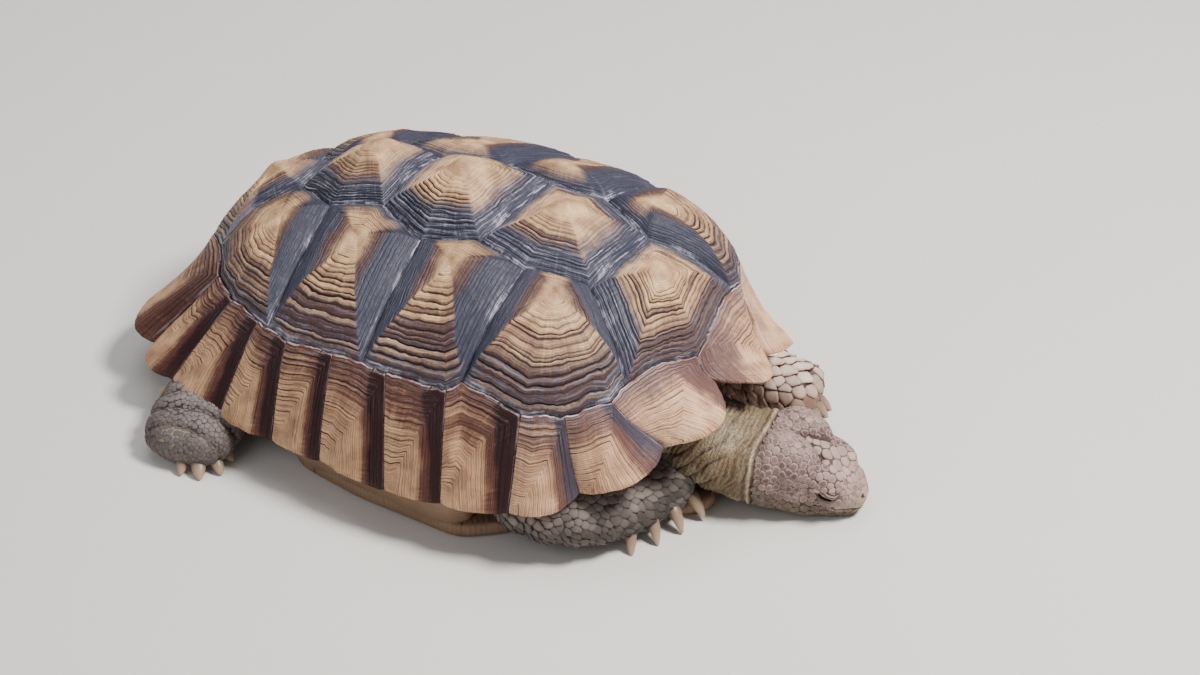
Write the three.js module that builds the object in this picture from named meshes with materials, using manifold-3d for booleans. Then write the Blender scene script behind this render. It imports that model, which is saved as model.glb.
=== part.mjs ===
// A life-size African spurred tortoise at rest, head lowered to the ground.
// Millimetres. +X is the way the head points, +Y its left side, +Z up.
// The origin is the middle of the flat underside of the plastron.
import * as THREE from 'three';
import Module from 'manifold-3d';

const { Manifold, Mesh } = await (async () => {
  const kernel = await Module();
  kernel.setup();
  return kernel;
})();

// ---------------------------------------------------------------- sizes

const GAP = 0.4; // clear space between two pieces that meet
const SIDES = [['right', -1], ['left', 1]];

// Carapace dome at the level of the seams, as a height over the plan.
const DOME = {
  front: 245, rear: 270, side: 191, // reach of the plan outline from the origin
  squareFront: 2.9, squareRear: 3.0, // how square the outline is, 2 being an ellipse
  turn: 0.6, // share of the reach over which the front squareness becomes the rear one
  top: 190,
  drop: [170, 98, 150], // fall from the top to the rim: front, side, rear
  power: [5, 1.82, 2.26], // how late the fall comes: front, side, rear
  dip: 10, dipReach: 1.2, // the rump falls away between its side and its rear
  step: 0.5, // distance over which the slope is measured
};
const SHIELD = {
  thick: 4.5, // horn and bone under a seam
  rings: [0.16, 0.55], // growth steps drawn in each raised scute
  segment: 22, // longest piece of a seam
  round: 1.25, // shape of the slope from areola to seam
};

// Corners where seams meet, on the left half of the plan.
const CORNER = {
  nape: [203, 0], napeSide: [186, 71], shoulder: [184, 87],
  v12: [131, 38], v2side: [83, 54], v23: [36, 46], v3side: [-10, 57],
  v34: [-61, 37], v4side: [-105, 46], v45: [-154, 22],
  v5waist: [-188, 46], v5side: [-190, 81], rumpSide: [-228, 44], rump: [-236, 0],
  m23: [164, 117], m34: [136, 135], c12: [86, 139], m45: [77, 146],
  m56: [26, 151], c23: [3, 151], m67: [-23, 153], m78: [-68, 151],
  c34: [-92, 144], m89: [-104, 141], m910: [-139, 128], m1011: [-168, 109],
};
// The raised scutes: growth centre, height of the pyramid over it, fullness of
// its sides, corners in turn.
const VERTEBRAL = [
  [[158, 0], 17.5, 2, ['nape', 'napeSide', 'v12']],
  [[81, 0], 22.5, 1, ['v12', 'v2side', 'v23']],
  [[-9, 0], 23, 1, ['v23', 'v3side', 'v34']],
  [[-87, 0], 21, 1, ['v34', 'v4side', 'v45']],
  [[-187, 0], 15, 2, ['v45', 'v5waist', 'v5side', 'rumpSide', 'rump']],
];
const COSTAL = [
  [[117, 64], 4, 7, ['v12', 'napeSide', 'shoulder', 'm23', 'm34', 'c12', 'v2side']],
  [[34, 72], 4, 7, ['v23', 'v2side', 'c12', 'm45', 'm56', 'c23', 'v3side']],
  [[-55, 72], 4, 7, ['v34', 'v3side', 'c23', 'm67', 'm78', 'c34', 'v4side']],
  [[-130, 68], 4, 6, ['v45', 'v4side', 'c34', 'm89', 'm910', 'm1011', 'v5side', 'v5waist']],
];
// The marginals: corners along the top seam, how far the edge bows out beyond
// the line between its two rim corners, and where along it the bow is widest.
const MARGINAL = [
  [['nape', 'napeSide', 'shoulder'], 28, 0.5],
  [['shoulder', 'm23'], 20, 0.42],
  [['m23', 'm34'], 14, 0.45],
  [['m34', 'c12', 'm45'], 5, 0.5],
  [['m45', 'm56'], 3, 0.5],
  [['m56', 'c23', 'm67'], 3, 0.5],
  [['m67', 'm78'], 3, 0.5],
  [['m78', 'c34', 'm89'], 5, 0.5],
  [['m89', 'm910'], 9, 0.55],
  [['m910', 'm1011'], 13, 0.55],
  [['m1011', 'v5side', 'rumpSide'], 24, 0.38],
];
// Rim corners between the marginals, front to rear.
const RIM = [
  [214, 0, 107], [216, 66, 90], [178, 119, 61], [138, 155, 48], [88, 170, 43],
  [43, 179, 41], [-19, 178, 40], [-65, 178, 39], [-118, 175, 38], [-176, 163, 38],
  [-212, 138, 44], [-254, 56, 36], [-262, 0, 34],
];
const BOW = 0.8; // fullness of a bowed edge, 1 being a sine
const TAIL_EDGE = 5; // how far the supracaudal's edge bows
const EDGE = {
  rows: [0.35, 0.7], // heights drawn between the seam and the rim
  hollow: [-4, 4, -2], // swell of the outer face: front, side, rear
  lip: 5, lipBack: 1.5, // thickness at the rim, and how far its underside draws in
  root: 0.5, // where the inner skin meets the marginals, seam to rim
  rootThick: 9,
};

// Plastron: half width along the body, and the bridge that rises to the rim.
const PLASTRON = {
  thick: 13, bevel: 5,
  outline: [
    [232, 16], [222, 34], [196, 46], [150, 88], [118, 132], [92, 156], [0, 161],
    [-58, 156], [-92, 126], [-130, 92], [-180, 76], [-212, 50], [-214, 22],
  ],
  gularFork: 218, analNotch: -196,
  bridge: {
    stations: [[92, 12], [70, 0], [-48, 0], [-70, 12]], // place along the body, drawn in by
    foot: 158, crest: 169, inner: 124, shelf: 16, low: 2, high: 50, step: 6,
  },
};

const TRUNK = { floor: 13.4, tuck: [0.66, 0.86, 0.64] }; // inward slope: front, side, rear

const HEAD = {
  nape: [243, 24, 44], yaw: 15, pitch: -20, length: 88, around: 16,
  square: 2.8, // how square the cross-section is, 2 being an ellipse
  // along the head: half width, height above and below the axis
  stations: [
    [-0.06, 33, 26, 35], [0.06, 37, 30, 38], [0.22, 38, 33, 36], [0.4, 36, 32, 32],
    [0.56, 31, 28, 26.5], [0.7, 26, 23, 22.5], [0.84, 21, 17, 18], [0.94, 16, 11, 14], [1, 9, 6, 10],
  ],
  eye: { along: 0.7, out: 19.1, up: 4.2, radius: 8.5, around: 12 },
};
const NECK = [ // centre, half width, half height
  [[146, -4, 58], 30, 28], [[188, -3, 51], 34, 31], [[222, 4, 43], 38, 33], [[250, 20, 39], 40, 34],
];
const TAIL = [
  [[-196, 0, 50], 19, 17], [[-224, 3, 38], 16, 14], [[-244, 8, 24], 12, 10], [[-254, 13, 14], 8, 8],
];
const FORELEG = { // pillar-like forearms folded in front of the chest
  right: [
    [[96, -112, 46], 34, 28], [[132, -122, 38], 35, 27], [[162, -106, 31], 34, 26],
    [[179, -80, 25], 32, 25], [[188, -56, 22], 28, 24], [[195, -37, 21], 25, 23],
    [[200, -25, 20], 21, 21],
  ],
  left: [
    [[96, 108, 48], 34, 28], [[138, 114, 38], 33, 27], [[174, 114, 27], 29, 24],
    [[206, 115, 24], 27, 22], [[224, 117, 22], 26, 22],
  ],
};
const CLAW = { around: 7, point: 0.3, tilt: 14, out: 0.85, ahead: 0.8 };
const FORECLAW = { // heading is where the middle of the fan points, in degrees from +X
  count: 5, length: 14, radius: 5, spread: 125, height: 11, heading: { right: -14, left: -6 },
};
const HINDLEG = { // thick column folded under the rear rim
  right: [
    [[-100, -104, 46], 38, 30], [[-132, -132, 34], 42, 30], [[-142, -162, 25], 41, 26],
    [[-138, -186, 19], 39, 21], [[-135, -198, 16], 35, 18],
  ],
  left: [
    [[-100, 104, 46], 38, 30], [[-134, 130, 34], 42, 30], [[-147, 156, 25], 41, 26],
    [[-146, 178, 19], 39, 21], [[-145, 190, 16], 35, 18],
  ],
};
const HINDCLAW = {
  count: 4, length: 12, radius: 5.5, spread: 95, height: 9, heading: { right: -76, left: 85 },
};
const GROUND = [900, 900, 100];
const TUBE = { around: 14, steps: 2, tip: [0.55, 0.9], tipLength: 0.42 };

// ---------------------------------------------------------------- vectors

const add = (a, b, k = 1) => a.map((v, i) => v + b[i] * k);
const sub = (a, b) => a.map((v, i) => v - b[i]);
const dot = (a, b) => a.reduce((s, v, i) => s + v * b[i], 0);
const lerp = (a, b, t) => a.map((v, i) => v + (b[i] - v) * t);
const unit = (a) => { const n = Math.hypot(...a); return a.map((v) => v / n); };
const cross = (a, b) => [
  a[1] * b[2] - a[2] * b[1], a[2] * b[0] - a[0] * b[2], a[0] * b[1] - a[1] * b[0],
];
const radians = (d) => (d * Math.PI) / 180;

// ---------------------------------------------------------------- dome

// Blends three values given for the front, the side and the rear.
function around(x, y, [front, side, rear]) {
  const c = x / Math.hypot(x, y);
  const f = Math.max(c, 0) ** 2;
  const r = Math.max(-c, 0) ** 2;
  return f * front + (1 - f - r) * side + r * rear;
}

// Reach of the plan outline in the direction of a point.
function reach(x, y) {
  const d = Math.hypot(x, y);
  const t = Math.min(Math.max(0.5 + x / d / DOME.turn, 0), 1);
  const n = DOME.squareRear + (DOME.squareFront - DOME.squareRear) * t * t * (3 - 2 * t);
  const a = x > 0 ? DOME.front : DOME.rear;
  return ((Math.abs(x) / d / a) ** n + (Math.abs(y) / d / DOME.side) ** n) ** (-1 / n);
}

function domeHeight(x, y) {
  const d = Math.hypot(x, y);
  if (d < 1e-6) return DOME.top;
  const rho = d / reach(x, y);
  const fall = around(x, y, DOME.drop) * rho ** around(x, y, DOME.power);
  const slant = x < 0 ? ((2 * x * y) / d ** 2) ** 2 : 0;
  const bell = (rho * (DOME.dipReach - rho) * 4) / DOME.dipReach ** 2;
  return DOME.top - fall - DOME.dip * slant * Math.min(Math.max(bell, 0), 1);
}

const onDome = ([x, y]) => [x, y, domeHeight(x, y)];

function domeNormal([x, y]) {
  const h = DOME.step;
  return unit([
    (domeHeight(x - h, y) - domeHeight(x + h, y)) / (2 * h),
    (domeHeight(x, y - h) - domeHeight(x, y + h)) / (2 * h), 1,
  ]);
}

// ---------------------------------------------------------------- solids

// Collects points and faces; a grid of rows closes round, ends are fans.
class Builder {
  constructor() { this.points = []; this.faces = []; }

  add(p) { this.points.push(p); return this.points.length - 1; }

  row(ps) { return ps.map((p) => this.add(p)); }

  strip(a, b) {
    a.forEach((_, i) => {
      const j = (i + 1) % a.length;
      this.faces.push([a[i], a[j], b[j]], [a[i], b[j], b[i]]);
    });
  }

  fan(row, centre, flip = false) {
    row.forEach((_, i) => {
      const j = (i + 1) % row.length;
      this.faces.push(flip ? [row[j], row[i], centre] : [row[i], row[j], centre]);
    });
  }

  solid() {
    const volume = this.faces.reduce((s, f) => {
      const [a, b, c] = f.map((i) => this.points[i]);
      return s + dot(a, cross(b, c));
    }, 0);
    const faces = volume < 0 ? this.faces.map(([a, b, c]) => [a, c, b]) : this.faces;
    const mesh = new Mesh({
      numProp: 3,
      vertProperties: new Float32Array(this.points.flat()),
      triVerts: new Uint32Array(faces.flat()),
    });
    mesh.merge();
    return new Manifold(mesh);
  }
}

// A closed solid from rings of points, capped at both ends.
function loft(rings) {
  const b = new Builder();
  const rows = rings.map((ring) => b.row(ring));
  rows.slice(1).forEach((row, i) => b.strip(rows[i], row));
  const middle = (ring) => ring.reduce((s, p) => add(s, p, 1 / ring.length), [0, 0, 0]);
  b.fan(rows[0], b.add(middle(rings[0])), true);
  b.fan(rows.at(-1), b.add(middle(rings.at(-1))));
  return b.solid();
}

// ---------------------------------------------------------------- scutes

const corner = (name, side) => [CORNER[name][0], CORNER[name][1] * side];

// Points of one seam, the same seen from either scute.
function seam(a, b) {
  const n = Math.max(1, Math.round(Math.hypot(...sub(b, a)) / SHIELD.segment));
  return Array.from({ length: n }, (_, i) => lerp(a, b, i / n));
}

const seamLine = (corners) => corners.slice(1).flatMap((c, i) => seam(corners[i], c));
const closedSeam = (corners) => seamLine([...corners, corners[0]]);

// Moves a closed outline inward by d.
function inset(line, d) {
  const n = line.length;
  const turn = line.reduce((s, p, i) => {
    const q = line[(i + 1) % n];
    return s + p[0] * q[1] - q[0] * p[1];
  }, 0) > 0 ? 1 : -1;
  const inward = (a, b) => { const [x, y] = unit(sub(b, a)); return [-y * turn, x * turn]; };
  return line.map((p, i) => {
    const m = add(inward(line[(i + n - 1) % n], p), inward(p, line[(i + 1) % n]));
    return add(p, m, (2 * d) / dot(m, m));
  });
}

// A scute that rises from its seams to a growth centre.
function raisedScute({ centre, relief, full, outline }) {
  const line = inset(outline, GAP / 2);
  const b = new Builder();
  const lift = (p, h) => add(onDome(p), domeNormal(p), h);
  const shape = (r) => relief * (1 - r ** SHIELD.round) + full * 4 * r * (1 - r);
  const rows = [...SHIELD.rings, 1].map((r) => (
    b.row(line.map((p) => lift(lerp(centre, p, r), shape(r))))));
  const under = b.row(line.map((p) => lift(p, -SHIELD.thick)));
  b.fan(rows[0], b.add(lift(centre, relief)));
  rows.slice(1).forEach((row, i) => b.strip(row, rows[i]));
  b.strip(under, rows.at(-1));
  b.fan(under, b.add(lift(centre, -SHIELD.thick)), true);
  return b.solid();
}

// One column of a marginal: a section in the upright plane through its seam
// point and its rim point, from the outer face round the lip to the inner face.
function section(top, rim, grow = 0) {
  const a = onDome(top);
  const run = sub(rim, a);
  const out = unit([run[0], run[1], 0]);
  const flat = [-out[1], out[0], 0];
  const n = unit(cross(flat, run));
  const normal = n[2] < 0 ? n.map((v) => -v) : n;
  const swell = around(top[0], top[1], EDGE.hollow);
  const face = (t, h) => add(lerp(a, rim, t), normal, swell * 4 * t * (1 - t) + h);
  return [
    face(0, grow), ...EDGE.rows.map((t) => face(t, grow)), add(face(1, grow), out, grow),
    add(face(1, -EDGE.lip - grow), out, grow - EDGE.lipBack),
    face(EDGE.root, -EDGE.rootThick - grow),
    add(a, domeNormal(top), -SHIELD.thick - grow),
  ];
}

// Top and rim points of the columns of one marginal.
function marginalColumns(number, side) {
  const [names, bow, peak] = MARGINAL[number - 1];
  const corners = names.map((name) => corner(name, side));
  const tops = [...seamLine(corners), corners.at(-1)];
  const [from, to] = [RIM[number - 1], RIM[number]].map(([x, y, z]) => [x, y * side, z]);
  const chord = unit([to[0] - from[0], to[1] - from[1], 0]);
  const out = side > 0 ? [-chord[1], chord[0], 0] : [chord[1], -chord[0], 0];
  const outward = dot(out, [from[0], from[1], 0]) > 0 ? out : out.map((v) => -v);
  const warp = Math.log(0.5) / Math.log(peak);
  return tops.map((top, i) => {
    const u = i / (tops.length - 1);
    const swell = Math.sin(Math.PI * u ** warp) ** BOW;
    return { top, rim: add(lerp(from, to, u), outward, u > 0 && u < 1 ? bow * swell : 0) };
  });
}

// A rim scute from its columns, drawn in from its neighbours and the dome.
function rimScute(columns, grow = 0) {
  const rings = columns.map(({ top, rim }) => section(top, rim, grow));
  const last = rings.length - 1;
  const d = GAP / 2 - grow;
  return loft(rings.map((ring, i) => ring.map((p, k) => {
    const along = unit(sub(rings[Math.min(i + 1, last)][k], rings[Math.max(i - 1, 0)][k]));
    const down = unit(sub(ring[3], ring[0]));
    const q = add(p, along, d * ((i === 0) - (i === last)));
    return add(q, down, k === 0 || k === ring.length - 1 ? d : 0);
  })));
}

// ---------------------------------------------------------------- body

// Walks the whole rim once: right side front to rear, then left rear to front.
function rimColumns() {
  const right = MARGINAL.flatMap((_, i) => marginalColumns(i + 1, -1).slice(0, -1));
  const left = MARGINAL.flatMap((_, i) => marginalColumns(i + 1, 1).slice(0, -1));
  const tailRight = supracaudalColumns();
  const join = marginalColumns(11, 1).at(-1);
  return [...right, ...tailRight.slice(0, -1), join, ...left.slice(1).reverse()];
}

function supracaudalColumns() {
  const tops = seamLine([corner('rumpSide', -1), corner('rump', 1), corner('rumpSide', 1)]);
  const all = [...tops, corner('rumpSide', 1)];
  const [side, middle] = [RIM.at(-2), RIM.at(-1)];
  return all.map((top, i) => {
    const u = (2 * i) / (all.length - 1) - 1;
    const t = Math.abs(u);
    const p = lerp(middle, side, t);
    return { top, rim: [p[0] - TAIL_EDGE * 4 * (1 - t) * t, p[1] * Math.sign(u || 1), p[2]] };
  });
}

// The body inside the shell: its back follows the underside of every scute.
function trunk(grow = 0) {
  const b = new Builder();
  const index = new Map();
  const depth = SHIELD.thick + GAP - grow;
  const under = (p) => {
    const key = `${p[0].toFixed(2)},${p[1].toFixed(2)}`;
    if (!index.has(key)) index.set(key, b.add(add(onDome(p), domeNormal(p), -depth)));
    return index.get(key);
  };
  everyRaised().forEach(({ centre, outline }) => {
    b.fan(outline.map(under), b.add(add(onDome(centre), domeNormal(centre), -depth)));
  });
  const columns = rimColumns();
  const seamRow = columns.map(({ top }) => under(top));
  const rootPoints = columns.map(({ top, rim }) => section(top, rim, GAP - grow).at(-2));
  const rootRow = b.row(rootPoints);
  const floorRow = b.row(rootPoints.map(([x, y]) => {
    const k = around(x, y, TRUNK.tuck);
    const d = Math.hypot(x, y);
    return [x * k + (x / d) * grow, y * k + (y / d) * grow, TRUNK.floor - grow];
  }));
  b.strip(seamRow, rootRow);
  b.strip(rootRow, floorRow);
  b.fan(floorRow, b.add([0, 0, TRUNK.floor - grow]));
  return b.solid();
}

function everyRaised() {
  const midline = VERTEBRAL.map(([centre, relief, full, names], i) => {
    const left = names.map((name) => corner(name, 1));
    const right = names.map((name) => corner(name, -1)).reverse();
    const ring = [...left, ...right].filter(([x, y], k, all) => (
      y !== 0 || k === all.findIndex((q) => q[0] === x && q[1] === y)));
    return { name: `vertebral_${i + 1}`, centre, relief, full, outline: counter(closedSeam(ring)) };
  });
  const flanks = SIDES.flatMap(([side, sign]) => COSTAL.map(([[x, y], relief, full, names], i) => ({
    name: `costal_${i + 1}_${side}`, centre: [x, y * sign], relief, full,
    outline: counter(closedSeam(names.map((name) => corner(name, sign)))),
  })));
  return [...midline, ...flanks];
}

// Outline in counter-clockwise order.
function counter(line) {
  const area = line.reduce((s, p, i) => {
    const q = line[(i + 1) % line.length];
    return s + p[0] * q[1] - q[0] * p[1];
  }, 0);
  return area < 0 ? [...line].reverse() : line;
}

function plastron(grow = 0) {
  const half = PLASTRON.outline;
  const ring = [
    ...half, [PLASTRON.analNotch, 0], ...half.map(([x, y]) => [x, -y]).reverse(),
    [PLASTRON.gularFork, 0],
  ];
  const at = (d, z) => inset(ring, d - grow).map(([x, y]) => [x, y, z]);
  const plate = loft([
    at(PLASTRON.bevel, 0), at(0, PLASTRON.bevel), at(0, PLASTRON.thick + grow),
  ]);
  const { stations, foot, crest, inner, shelf, low, high, step } = PLASTRON.bridge;
  const wing = (side) => loft(stations.map(([x, draw]) => [
    [inner, low + step], [foot - draw, low], [foot - draw, low + step],
    [crest - draw / 2 + grow, high], [crest - shelf, high], [inner, low + 2 * step],
  ].map(([y, z]) => [x, y * side, z])));
  return Manifold.union([plate, wing(1), wing(-1)]);
}

// Smooth path through stations of centre, half width and half height.
function smoothStations(stations) {
  const at = (i) => stations[Math.min(Math.max(i, 0), stations.length - 1)];
  const mix = (i, t) => {
    const [p0, p1, p2, p3] = [at(i - 1), at(i), at(i + 1), at(i + 2)].map((s) => [...s[0], s[1], s[2]]);
    return p1.map((_, k) => 0.5 * (2 * p1[k] + (p2[k] - p0[k]) * t
      + (2 * p0[k] - 5 * p1[k] + 4 * p2[k] - p3[k]) * t * t
      + (3 * p1[k] - p0[k] - 3 * p2[k] + p3[k]) * t ** 3));
  };
  const out = [];
  for (let i = 0; i < stations.length - 1; i += 1) {
    for (let s = 0; s < TUBE.steps; s += 1) out.push(mix(i, s / TUBE.steps));
  }
  return [...out, mix(stations.length - 2, 1)];
}

// A limb or neck: oval rings square to the path with a rounded end, flattened
// where it lies on the ground.
function limb(stations, grow = 0) {
  const path = smoothStations(stations);
  const end = path.at(-1);
  const way = unit(sub(end.slice(0, 3), path.at(-2).slice(0, 3)));
  const tip = TUBE.tip.map((t) => {
    const [w, h] = end.slice(3).map((v) => v * Math.sqrt(1 - t * t));
    return [...add(end.slice(0, 3), way, t * TUBE.tipLength * end[3]), w, h];
  });
  const all = [...path, ...tip];
  return loft(all.map(([x, y, z, w, h], i) => {
    const [a, c] = [all[Math.max(i - 1, 0)], all[Math.min(i + 1, all.length - 1)]];
    const ahead = unit(sub(c.slice(0, 3), a.slice(0, 3)));
    const wide = unit(cross([0, 0, 1], ahead));
    const up = cross(ahead, wide);
    return Array.from({ length: TUBE.around }, (_, k) => {
      const angle = (2 * Math.PI * k) / TUBE.around;
      const p = add(add([x, y, z], wide, (w + grow) * Math.cos(angle)), up, (h + grow) * Math.sin(angle));
      return [p[0], p[1], Math.max(p[2], 0)];
    });
  }));
}

// Blunt claws set round the front of a foot.
function claws(stations, spec, side) {
  const [centre, width] = stations.at(-1);
  const before = stations.at(-2)[0];
  const path = Math.atan2(centre[1] - before[1], centre[0] - before[0]);
  const [long, broad] = [width * TUBE.tipLength * CLAW.ahead, width * CLAW.out];
  return Array.from({ length: spec.count }, (_, i) => {
    const turn = spec.heading[side] + (i / (spec.count - 1) - 0.5) * spec.spread;
    const angle = radians(turn);
    const out = 1 / Math.hypot(Math.cos(angle - path) / long, Math.sin(angle - path) / broad);
    return Manifold.cylinder(spec.length, spec.radius, spec.radius * CLAW.point, CLAW.around)
      .rotate([0, 90 + CLAW.tilt, turn])
      .translate([centre[0] + out * Math.cos(angle), centre[1] + out * Math.sin(angle), spec.height]);
  });
}

// What is left of a solid outside its neighbours, as one body.
function clearOf(solid, neighbours) {
  const parts = neighbours.reduce((s, other) => s.subtract(other), solid).decompose();
  return parts.reduce((a, b) => (b.volume() > a.volume() ? b : a));
}

function leg(stations, spec, side, neighbours) {
  const floor = Manifold.cube(GROUND, true).translate([0, 0, -GROUND[2] / 2]);
  const whole = Manifold.union([limb(stations), ...claws(stations, spec, side)]);
  return clearOf(whole, [floor, ...neighbours]);
}

// ---------------------------------------------------------------- head

const headTurn = new THREE.Matrix4()
  .makeTranslation(...HEAD.nape)
  .multiply(new THREE.Matrix4().makeRotationZ(radians(HEAD.yaw)))
  .multiply(new THREE.Matrix4().makeRotationY(radians(-HEAD.pitch)));
const inHead = (p) => new THREE.Vector3(...p).applyMatrix4(headTurn).toArray();

function skull() {
  return loft(HEAD.stations.map(([t, w, up, down]) => (
    Array.from({ length: HEAD.around }, (_, k) => {
      const a = (2 * Math.PI * k) / HEAD.around;
      const [c, s] = [Math.cos(a), Math.sin(a)];
      const r = (Math.abs(c) ** HEAD.square + Math.abs(s) ** HEAD.square) ** (-1 / HEAD.square);
      const p = inHead([t * HEAD.length, w * c * r, (s > 0 ? up : down) * s * r]);
      return [p[0], p[1], Math.max(p[2], 0)];
    }))));
}

function eyeball(side, grow = 0) {
  const { along, out, up, radius, around: sides } = HEAD.eye;
  return Manifold.sphere(radius + grow, sides).translate(inHead([along * HEAD.length, out * side, up]));
}

// ---------------------------------------------------------------- assembly

const COLOUR = {
  vertebral: 0xa98352, costal: 0xa07a4c, marginal: 0xb88a4e, plastron: 0xa67c4a,
  skin: 0x8f7a5c, head: 0xa68d7a, limb: 0x8c7660, eye: 0x14100c,
};

function materialOf(name) {
  const kind = name.replace(/_.*/, '');
  const skinKinds = { head: 'head', foreleg: 'limb', hindleg: 'limb', neck: 'skin', trunk: 'skin', tail: 'limb' };
  const key = kind === 'supracaudal' ? 'marginal' : skinKinds[kind] ?? kind;
  return new THREE.MeshStandardMaterial({
    color: COLOUR[key], roughness: key === 'eye' ? 0.15 : 0.75, metalness: 0,
  });
}

function toMesh(name, solid) {
  const { vertProperties, triVerts, numProp } = solid.getMesh();
  const geometry = new THREE.BufferGeometry();
  const points = new Float32Array(triVerts.length * 3);
  triVerts.forEach((v, i) => points.set(vertProperties.subarray(v * numProp, v * numProp + 3), i * 3));
  geometry.setAttribute('position', new THREE.BufferAttribute(points, 3));
  geometry.computeVertexNormals();
  const mesh = new THREE.Mesh(geometry, materialOf(name));
  mesh.name = name;
  return mesh;
}

function pieces() {
  const out = {};
  everyRaised().forEach((scute) => { out[scute.name] = raisedScute(scute); });
  const edge = SIDES.flatMap(([side, sign]) => MARGINAL.map((_, i) => (
    [`marginal_${String(i + 1).padStart(2, '0')}_${side}`, marginalColumns(i + 1, sign)])));
  edge.push(['supracaudal', supracaudalColumns()]);
  edge.forEach(([name, columns]) => { out[name] = rimScute(columns); });
  const rim = edge.map(([, columns]) => rimScute(columns, GAP));
  out.trunk = clearOf(trunk(), rim);
  const body = [trunk(GAP)];
  out.plastron = clearOf(plastron(), [...rim, ...body]);
  body.push(plastron(GAP));
  const neckGrown = limb(NECK, GAP);
  out.neck = clearOf(limb(NECK), [...body, ...rim]);
  SIDES.forEach(([side]) => {
    out[`foreleg_${side}`] = leg(FORELEG[side], FORECLAW, side, [...body, ...rim, neckGrown]);
    out[`hindleg_${side}`] = leg(HINDLEG[side], HINDCLAW, side, [...body, ...rim]);
  });
  out.tail = clearOf(limb(TAIL), [...body, ...rim]);
  out.head = clearOf(skull(), [neckGrown, ...SIDES.map(([, sign]) => eyeball(sign, GAP))]);
  SIDES.forEach(([side, sign]) => { out[`eye_${side}`] = eyeball(sign); });
  return out;
}

const tortoise = new THREE.Group();
tortoise.name = 'sulcata_tortoise';
Object.entries(pieces()).forEach(([name, solid]) => tortoise.add(toMesh(name, solid)));

export default tortoise;
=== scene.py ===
"""A life-size African spurred tortoise at rest, its head lowered to the ground.

Shapes are worked out in millimetres and written to the meshes in metres. +X is the way the head
points, +Y its left side, +Z up, and the origin is the middle of the flat underside of the plastron.
"""

import logging
import math
from collections.abc import Callable
from dataclasses import dataclass, field
from enum import Enum
from functools import partial

import bpy
import numpy as np
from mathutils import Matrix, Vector


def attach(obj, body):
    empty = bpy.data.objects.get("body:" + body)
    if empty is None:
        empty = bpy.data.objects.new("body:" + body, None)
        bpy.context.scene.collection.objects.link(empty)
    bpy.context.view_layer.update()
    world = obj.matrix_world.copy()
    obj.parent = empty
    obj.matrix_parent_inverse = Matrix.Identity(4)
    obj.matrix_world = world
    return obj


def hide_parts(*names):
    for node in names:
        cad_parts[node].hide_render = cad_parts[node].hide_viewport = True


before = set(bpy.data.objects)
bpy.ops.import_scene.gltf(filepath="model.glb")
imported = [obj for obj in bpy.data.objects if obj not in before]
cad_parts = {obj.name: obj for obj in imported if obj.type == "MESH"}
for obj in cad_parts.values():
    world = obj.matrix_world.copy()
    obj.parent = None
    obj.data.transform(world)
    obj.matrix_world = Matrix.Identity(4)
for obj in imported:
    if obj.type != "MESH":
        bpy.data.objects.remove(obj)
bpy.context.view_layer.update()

log = logging.getLogger("tortoise")
Array = np.ndarray
Three = tuple[float, float, float]
Curve = tuple[tuple[float, float], ...]
MM = 0.001
BODY = "root"
SIDES = (("right", -1), ("left", 1))


# ---------------------------------------------------------------- small maths


def smooth_step(low: float, high: float, value: Array) -> Array:
    """Runs from 0 at low to 1 at high along 3t^2 - 2t^3."""
    t = np.clip((value - low) / (high - low), 0.0, 1.0)
    return t * t * (3 - 2 * t)


def blend(a: Array, b: Array, t: Array) -> Array:
    """Goes in a straight line from a at t 0 to b at t 1."""
    return a + (b - a) * t


def unit(v: Array) -> Array:
    """Makes vectors one long along the last axis."""
    return v / np.maximum(np.linalg.norm(v, axis=-1, keepdims=True), 1e-9)


def bell(value: Array, middle: float, width: float) -> Array:
    """Runs from 1 at the middle to 1/e one width away along exp(-x^2)."""
    return np.exp(-(((value - middle) / width) ** 2))


def soft_least(a: Array, b: Array, width: float) -> Array:
    """The smaller of two distances, rounded off over a width where they meet."""
    overlap = np.maximum(width - np.abs(a - b), 0.0) / width
    return np.minimum(a, b) - overlap * overlap * width / 4


def along_line(points: Array, places: Array) -> Array:
    """Points at fractions of an open line's length.

    Args:
        points: Corners of the line, one per row.
        places: Fractions from 0 to 1.

    Returns:
        One point per fraction.
    """
    steps = np.linalg.norm(np.diff(points, axis=0), axis=1)
    lengths = np.concatenate([[0.0], np.cumsum(steps)])
    at = places * lengths[-1]
    return np.stack([np.interp(at, lengths, points[:, k]) for k in range(points.shape[1])], axis=1)


def smooth_path(stations: Array, steps: int) -> Array:
    """Catmull-Rom curve through the rows of an array.

    Args:
        stations: One row of numbers per station.
        steps: Samples from one station to the next.

    Returns:
        Rows sampled along the curve, the last station included.
    """
    p = np.concatenate([stations[:1], stations, stations[-1:]])
    t = np.linspace(0, 1, steps, endpoint=False)[None, :, None]
    p0, p1, p2, p3 = (p[k:len(p) - 3 + k, None] for k in range(4))
    curve = 0.5 * (
        2 * p1 + (p2 - p0) * t + (2 * p0 - 5 * p1 + 4 * p2 - p3) * t**2
        + (3 * p1 - p0 - 3 * p2 + p3) * t**3
    )
    return np.concatenate([curve.reshape(-1, stations.shape[1]), stations[-1:]])


def blur_ring(values: Array, reach: float) -> Array:
    """Averages rows round a closed ring with a bell of the given reach in rows."""
    count = len(values)
    offsets = np.minimum(np.arange(count), count - np.arange(count))
    weight = np.exp(-0.5 * (offsets / reach) ** 2)
    spectrum = np.fft.rfft(weight / weight.sum())[:, None]
    return np.fft.irfft(np.fft.rfft(values, axis=0) * spectrum, n=count, axis=0)


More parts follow.
